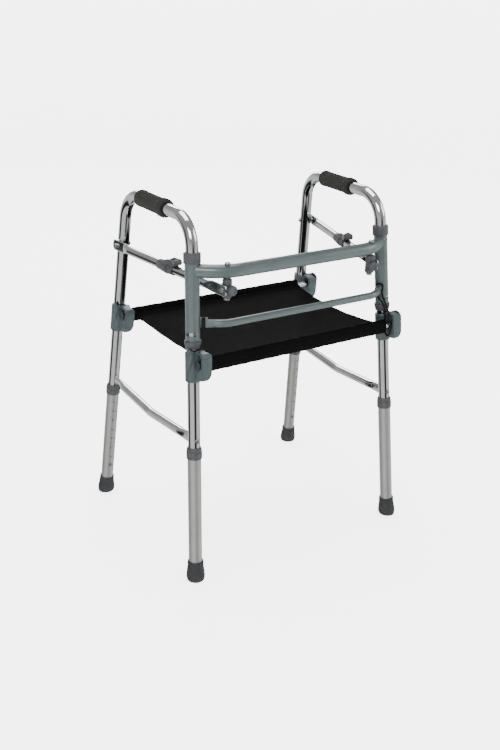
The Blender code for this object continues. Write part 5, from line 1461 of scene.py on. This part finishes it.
class WALKER_OT_seat_rods(bpy.types.Operator):
    """Makes the two seat rods with a plug in each end"""

    bl_idname = "walker.seat_rods"
    bl_label = "Seat rods"

    def execute(self, context):
        for end_name, end in ENDS.items():
            at = (np.array((0, *rod_line(end))), np.array(ACROSS_X, float))
            faces = (hook_span(-1, end)[0] - ROD_END_GAP, hook_span(1, end)[1] + ROD_END_GAP)
            tube = turned([(ROD_RADIUS, face) for face in faces], 0, at, 40)
            pieces = [made(f"rod_tube_{end_name}", "bright_tube", f"seat_rod_{end_name}", tube)]
            for (name, out), face in zip(SIDES.items(), faces):
                tip = face + out * ROD_CAP_LENGTH
                profile = [(0.0060, face - out * 0.0004), (ROD_CAP_RADIUS, face),
                           (ROD_CAP_RADIUS, tip), (0.0040, tip)]
                plug = turned(profile, [0, 0.0004, 0.0018, 0], at, 40)
                pieces.append(
                    made(f"rod_plug_{end_name}_{name}", NO_SLOT, None, plug, body="seat"))
            if end > 0:
                for piece in pieces:
                    folds_with_seat(piece)
        return {"FINISHED"}


def folds_with_seat(piece):
    """A folded walker's seat hangs as a bundle on its front rod. Here the piece only gets its own
    copy of its mesh; a point by the front rod is worked out but not used.
    """
    anchor = (0.0, float(rod_line(-1)[0]) - HEM_HALF_DEPTH - 0.0003, ROD_HEIGHT)
    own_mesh(piece)


class Cloth:
    """The seat's cloth as a surface of two shares: u from left to right, v from hem to hem.

    The line along v starts as a seam allowance under the sheet, goes round the front rod, over the
    sagging sheet, round the rear rod and back under it. Across, the cloth lies between its left and
    right ends, pulled in between the rods. Ripples stand along the line's normal.
    """

    def __init__(self, sizes):
        self.sizes = sizes
        front, rear = np.array(rod_line(-1)), np.array(rod_line(1))
        self.front_y, self.rear_y = front[0], rear[0]
        oval = np.array((HEM_HALF_DEPTH - 0.0003, HEM_HALF_HEIGHT - 0.0003))

        def round_hem(centre, start, stop):
            angle = np.radians(np.linspace(start, stop, 90))[:, None]
            return centre + oval * np.concatenate([np.cos(angle), np.sin(angle)], 1)

        ahead = round_hem(front, HEM_EXIT - 6, HEM_EXIT + 7 - 360)
        behind = round_hem(rear, 180 - HEM_EXIT - 7, -180 - HEM_EXIT + 6)
        share = np.linspace(0, 1, 60)[1:-1, None]
        sheet = ahead[-1] + (behind[0] - ahead[-1]) * share
        sheet[:, 1] -= sizes.seat_sag * 4 * (share * (1 - share))[:, 0]
        settle = 0.0030 * (eased(share, 0.0, 0.05) * eased(1 - share, 0.0, 0.05))[:, 0]
        sheet[:, 1] -= settle
        under = 0.0022
        near = sheet[2:6][::-1] - (0, under)
        far = sheet[-6:-2][::-1] - (0, under)
        line = np.concatenate([near[:3], ahead, sheet[2:-2], behind, far[1:]])
        line = at_distances(line, np.linspace(0, lengths(line)[-1], 700))
        kernel = np.ones(9) / 9
        soft = np.stack([np.convolve(line[:, k], kernel, "same") for k in (0, 1)], -1)
        soft[:4], soft[-4:] = line[:4], line[-4:]
        self.line, self.along = soft, lengths(soft)
        self.length = float(self.along[-1])
        run = unit(np.gradient(soft, axis=0))
        self.normal = np.stack([-run[:, 1], run[:, 0]], -1)
        top = np.flatnonzero((soft[:, 0] > self.front_y + 0.02) & (soft[:, 0] < self.rear_y - 0.02)
                             & (self.normal[:, 1] > 0.7))
        self.seams = (self.along[top[0]] - SEAM_INWARD, self.along[top[-1]] + SEAM_INWARD)

    def share(self, y):
        """A depth as a share of the way from the front rod to the rear one."""
        return np.clip((y - self.front_y) / (self.rear_y - self.front_y), 0, 1)

    def edges(self, share):
        """The cloth's left and right ends, drawn in by a parabola between the rods."""
        starts = [hook_span(-1, end)[1] + HEM_END_GAP for end in (-1, 1)]
        left = starts[0] + (starts[1] - starts[0]) * share
        drawn = self.sizes.edge_draw_in * 4 * share * (1 - share)
        return left + drawn, left + self.sizes.cloth_width - drawn

    def ripple(self, x, u, share, distance):
        """Sums of sines: gathers at the rods, slack between them, puckers and dips at the seams."""
        width = self.sizes.cloth_width
        inside = 4 * share * (1 - share)
        tight = np.exp(-share * 9) + np.exp(-(1 - share) * 9)
        side = np.exp(-u * width / 0.035) + np.exp(-(1 - u) * width / 0.035)
        total = 0.00028 * tight * (np.sin(x * 168 + 1.1) + 0.7 * np.sin(x * 301 + 0.4 + 4 * share))
        total += 0.00045 * inside * np.sin(x * 61 + 0.8 + 1.5 * np.sin(share * 5 + x * 7))
        total += 0.00050 * inside * side * np.sin(share * 34 + x * 20)
        seam = np.minimum(np.abs(distance - self.seams[0]), np.abs(distance - self.seams[1]))
        total += 0.00020 * np.exp(-seam / 0.006) * np.sin(x * 620 + 3 * np.sin(x * 45))
        total -= 0.00045 * np.exp(-((seam / 0.0016) ** 2))
        side_hem = 0.0007 * (1 - eased(np.minimum(u, 1 - u) * width, 0.0105, 0.0125))
        return total + side_hem * eased(share, 0.0, 0.03) * eased(1 - share, 0, 0.03)

    def points(self, u, v, lift=0.0):
        """Points of the cloth's outer face at shares u and v, lifted off it along its normal."""
        distance = np.asarray(v, float) * self.length
        y, z, normal_y, normal_z = (
            np.interp(distance, self.along, values) for values in (*self.line.T, *self.normal.T))
        share = self.share(y)
        left, right = self.edges(share)
        x = left + (right - left) * u
        out = self.ripple(x, u, share, distance) + lift
        return np.stack([x, y + normal_y * out, z + normal_z * out], -1)


class WALKER_OT_seat_cloth(bpy.types.Operator):
    """Makes the seat's cloth, hemmed round both rods, and its rows of stitches"""

    bl_idname = "walker.seat_cloth"
    bl_label = "Seat cloth and stitching"

    def execute(self, context):
        sizes = context.scene.walker_sizes
        cloth = Cloth(sizes)
        u, v = np.meshgrid(np.linspace(0, 1, 157), np.linspace(0, 1, 301))
        uv = np.stack([u * sizes.cloth_width, v * cloth.length], -1)
        sheet = shell(cloth.points(u, v), around=False, uv=uv, outward=(0, 0, 1))
        piece = made("seat_sheet", "seat_fabric", "seat_cloth", sheet,
                     wall=sizes.cloth_thickness, crease=60)
        rows = [((0.004, 0.996), ((seam + shift) / cloth.length,) * 2)
                for seam in cloth.seams for shift in (-STITCH_ROWS, STITCH_ROWS)]
        inset = SIDE_STITCHES / sizes.cloth_width
        ends = [(seam + shift) / cloth.length for seam, shift in zip(cloth.seams, (0.004, -0.004))]
        rows += [((side, side), ends) for side in (inset, 1 - inset)]
        thread = made("seat_stitching", "seat_fabric", None,
                      *(self.row(cloth, across, along) for across, along in rows), body="seat")
        for soft in (piece, thread):
            folds_with_seat(soft)
        return {"FINISHED"}

    def row(self, cloth, across, along):
        """A row of lockstitches: its height is a cosine of the distance, half under the cloth."""
        wide, deep = across[1] - across[0], along[1] - along[0]
        span = np.hypot(wide * cloth.sizes.cloth_width, deep * cloth.length)
        count = int(round(span / cloth.sizes.stitch_pitch))
        share = np.linspace(0, 1, count * 8 + 1)
        lift = 0.00048 * np.cos(share * count * 2 * pi) - 0.00002
        path = cloth.points(across[0] + wide * share, along[0] + deep * share, lift)
        return carried(path, THREAD_RADIUS, THREAD_RADIUS, (0.3, 0.2, 0.93), 6)


class WALKER_OT_tether(bpy.types.Operator):
    """Makes the elastic loop from the lower crossbar's right end to the seat's front rod"""

    bl_idname = "walker.tether"
    bl_label = "Elastic tether"

    def execute(self, context):
        sizes = context.scene.walker_sizes
        path = self.route(sizes)
        loop = carried(path, sizes.tether_radius, sizes.tether_radius, (1, 0.06, 0), 20, loop=True)
        piece = made("tether_loop", "elastic", "elastic_tether", loop)
        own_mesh(piece)
        return {"FINISHED"}

    def route(self, sizes):
        """A smooth closed curve through points over the crossbar's end and under the rod.

        Between two points it is (2b + (c-a)t + (2a-5b+4c-d)t^2 + (3b-a-3c+d)t^3) / 2.
        """
        along = lower_bar_end(1)[1]
        forward = np.array((along[1], -along[0], 0))
        front_face = LUG_THICKNESS / 2 + GAP + BRACE_FLAT
        back_face = -LUG_THICKNESS / 2
        clear = sizes.tether_radius + 4 * GAP
        half = (front_face - back_face) / 2 + clear
        over = leg_point(1, -1, LOWER_BAR_HEIGHT) - along * TETHER_INWARD
        over = over + forward * (front_face + back_face) / 2
        a = np.radians(np.arange(180, -1, -30.0))
        reach = half * np.abs(np.cos(a)) ** 0.5 * np.where(a > pi / 2 + 1e-6, -1, 1)
        rise = LUG_HEIGHT / 2 + clear - 0.008 * (1 - np.clip(np.sin(a), 0, 1) ** 0.5)
        top = over + forward * reach[:, None] + UP * rise[:, None]
        down = over + forward * half - UP * LUG_HEIGHT / 2
        back = over - forward * half - UP * LUG_HEIGHT / 2
        rod_y, rod_z = rod_line(-1)
        right = hook_span(-1, -1)[1] + HEM_END_GAP + sizes.cloth_width
        out = ROD_RADIUS + sizes.tether_radius + 3 * GAP
        turn = np.radians(np.arange(165, 376, 30.0))
        hang = np.where(np.sin(turn) < 0, TETHER_HANG, out)
        under = np.stack([np.full(len(turn), right + TETHER_OUT), rod_y + out * np.cos(turn),
                          rod_z + hang * np.sin(turn)], -1)
        bow = [(down + under[0]) / 2 + TETHER_BOWS[0], (back + under[-1]) / 2 + TETHER_BOWS[1]]
        b = np.concatenate([top, [down, bow[0]], under, [bow[1], back]])
        before, after, beyond = (np.roll(b, k, 0)[:, None] for k in (1, -1, -2))
        here = b[:, None]
        t = np.linspace(0, 1, 13)[:-1][None, :, None]
        curve = (here * 2 + (after - before) * t
                 + (before * 2 - here * 5 + after * 4 - beyond) * t**2
                 + (here * 3 - before - after * 3 + beyond) * t**3) / 2
        return curve.reshape(-1, 3)


class WALKER_OT_snap_buttons(bpy.types.Operator):
    """Gives the snap buttons, with their leaf springs in the legs, their plated finish"""

    bl_idname = "walker.snap_buttons"
    bl_label = "Snap buttons"

    def execute(self, context):
        for name, _, end_name, _ in LEGS:
            materials = frame["nodes"][f"snap_button_{end_name}_{name}"].data.materials
            materials.clear()
            materials.append(finish("zinc"))
        return {"FINISHED"}


class WALKER_OT_studio(bpy.types.Operator):
    """Sets up the paper floor, the soft lights and the camera"""

    bl_idname = "walker.studio"
    bl_label = "Studio"

    def execute(self, context):
        self.paper(context.scene)
        self.room(context.scene)
        self.lamps(context.scene)
        self.camera(context.scene)
        return {"FINISHED"}

    def paper(self, scene):
        """A round sheet that curves up at its rim: a profile turned about the middle."""
        angle = np.linspace(0, 2 * pi, 97)[:-1]
        t = np.linspace(0, 1, 40) * pi / 2
        radius = np.concatenate([
            np.linspace(0.05, PAPER_FLAT, 30), PAPER_FLAT + PAPER_CURVE * np.sin(t)])[:, None]
        height = np.concatenate([np.zeros(30), PAPER_RISE * (1 - np.cos(t))])[:, None] - 0.0004
        grid = np.stack(np.broadcast_arrays(
            radius * np.cos(angle), radius * np.sin(angle), height), -1)
        mesh = mesh_of("paper", [shell(grid, ends=(True, False), outward=(0, 0, 1))])
        mesh.shade_smooth()
        mesh.materials.append(finish("paper"))
        paper = bpy.data.objects.new("studio_paper", mesh)
        scene.collection.objects.link(paper)
        paper.visible_glossy = False

    def room(self, scene):
        """A pale ceiling over three white and three dark walls, for the tubes to mirror."""
        scene.world = bpy.data.worlds.new("studio_room")
        scene.world.use_nodes = True
        tree = scene.world.node_tree
        tree.nodes.clear()
        way = add(tree, "SeparateXYZ", add(tree, "TexCoord").outputs["Generated"]).outputs
        turn = add(tree, "Math", way["Y"], way["X"], operation="ARCTAN2")
        wide = add(tree, "Math", turn, 3.0, operation="MULTIPLY")
        wave = add(tree, "Math", wide, operation="SINE")
        band = add(tree, "ValToRGB", wave, stops=[
            (0.0, "FFFFFF"), (0.35, "F0F0F0"), (0.58, "7C7C7C"), (0.92, "2C2C2C")])
        above = add(tree, "MapRange", way["Z"], -0.1, 0.35, 0.0, 1.0)
        sky = add(tree, "Mix", above, band, linear("B8B8B8"), data_type="RGBA")
        add(tree, "OutputWorld", Surface=add(tree, "Background", Color=sky, Strength=0.95))

    def lamps(self, scene):
        for name, spot, width, power in LAMPS:
            lamp = bpy.data.lights.new(name, "AREA")
            lamp.shape = "RECTANGLE"
            lamp.size, lamp.size_y = width, width * 0.8
            lamp.energy = power
            box = bpy.data.objects.new(name, lamp)
            scene.collection.objects.link(box)
            spot, axes = place(spot, np.array(spot) - (0, 0, 0.4), (0, 0.01, -1))
            box.matrix_world = self.matrix(axes.T, spot)

    def matrix(self, columns, spot):
        columns = np.column_stack([columns, spot])
        return Matrix(np.vstack([columns, (0, 0, 0, 1)]).tolist())

    def camera(self, scene):
        """The fitted viewpoint: turned about the walker's middle by azimuth, elevation and roll."""
        aside, ahead = sin(AZIMUTH), -cos(AZIMUTH)
        back = np.array((aside * cos(ELEVATION), ahead * cos(ELEVATION), sin(ELEVATION)))
        spot = np.array((0, 0, AIM_HEIGHT)) + back * CAMERA_DISTANCE
        level = unit(np.cross(-back, UP))
        over = np.cross(level, -back)
        right = level * cos(ROLL) + over * sin(ROLL)
        top = over * cos(ROLL) - level * sin(ROLL)
        lens = bpy.data.cameras.new("camera")
        lens.lens = FOCAL_LENGTH / PICTURE_HEIGHT * lens.sensor_width
        lens.shift_x, lens.shift_y = (pixels / PICTURE_HEIGHT for pixels in SHIFT)
        lens.clip_end = 50
        camera = bpy.data.objects.new("camera", lens)
        scene.collection.objects.link(camera)
        camera.matrix_world = self.matrix(np.column_stack([right, top, back]), spot)
        scene.camera = camera


PIECES = (
    WALKER_OT_handle_tubes, WALKER_OT_lower_legs, WALKER_OT_collars, WALKER_OT_rubber_tips,
    WALKER_OT_snap_buttons, WALKER_OT_grips, WALKER_OT_side_braces, WALKER_OT_sleeves,
    WALKER_OT_crossbars, WALKER_OT_folding_braces, WALKER_OT_seat_clips, WALKER_OT_seat_latches,
    WALKER_OT_seat_rods, WALKER_OT_seat_cloth, WALKER_OT_tether, WALKER_OT_studio,
)


class WALKER_PT_panel(bpy.types.Panel):
    """Lists the walker's sizes, colours and pieces."""

    bl_idname = "WALKER_PT_panel"
    bl_label = "Folding walker"
    bl_space_type = "VIEW_3D"
    bl_region_type = "UI"
    bl_category = "Walker"

    def draw(self, context):
        for group in (context.scene.walker_sizes, context.scene.walker_colours):
            for name in group.__annotations__:
                self.layout.prop(group, name)
        for piece in PIECES:
            self.layout.operator(piece.bl_idname)


CLASSES = (WalkerSizes, WalkerColours, *PIECES, WALKER_PT_panel)


def register():
    for item in CLASSES:
        bpy.utils.register_class(item)
    bpy.types.Scene.walker_sizes = PointerProperty(type=WalkerSizes)
    bpy.types.Scene.walker_colours = PointerProperty(type=WalkerColours)


def unregister():
    del bpy.types.Scene.walker_colours
    del bpy.types.Scene.walker_sizes
    for item in reversed(CLASSES):
        bpy.utils.unregister_class(item)


def main():
    register()
    for piece in PIECES:
        getattr(bpy.ops.walker, piece.bl_idname.split(".")[1])()
    bpy.context.view_layer.update()


if __name__ == "__main__":
    main()
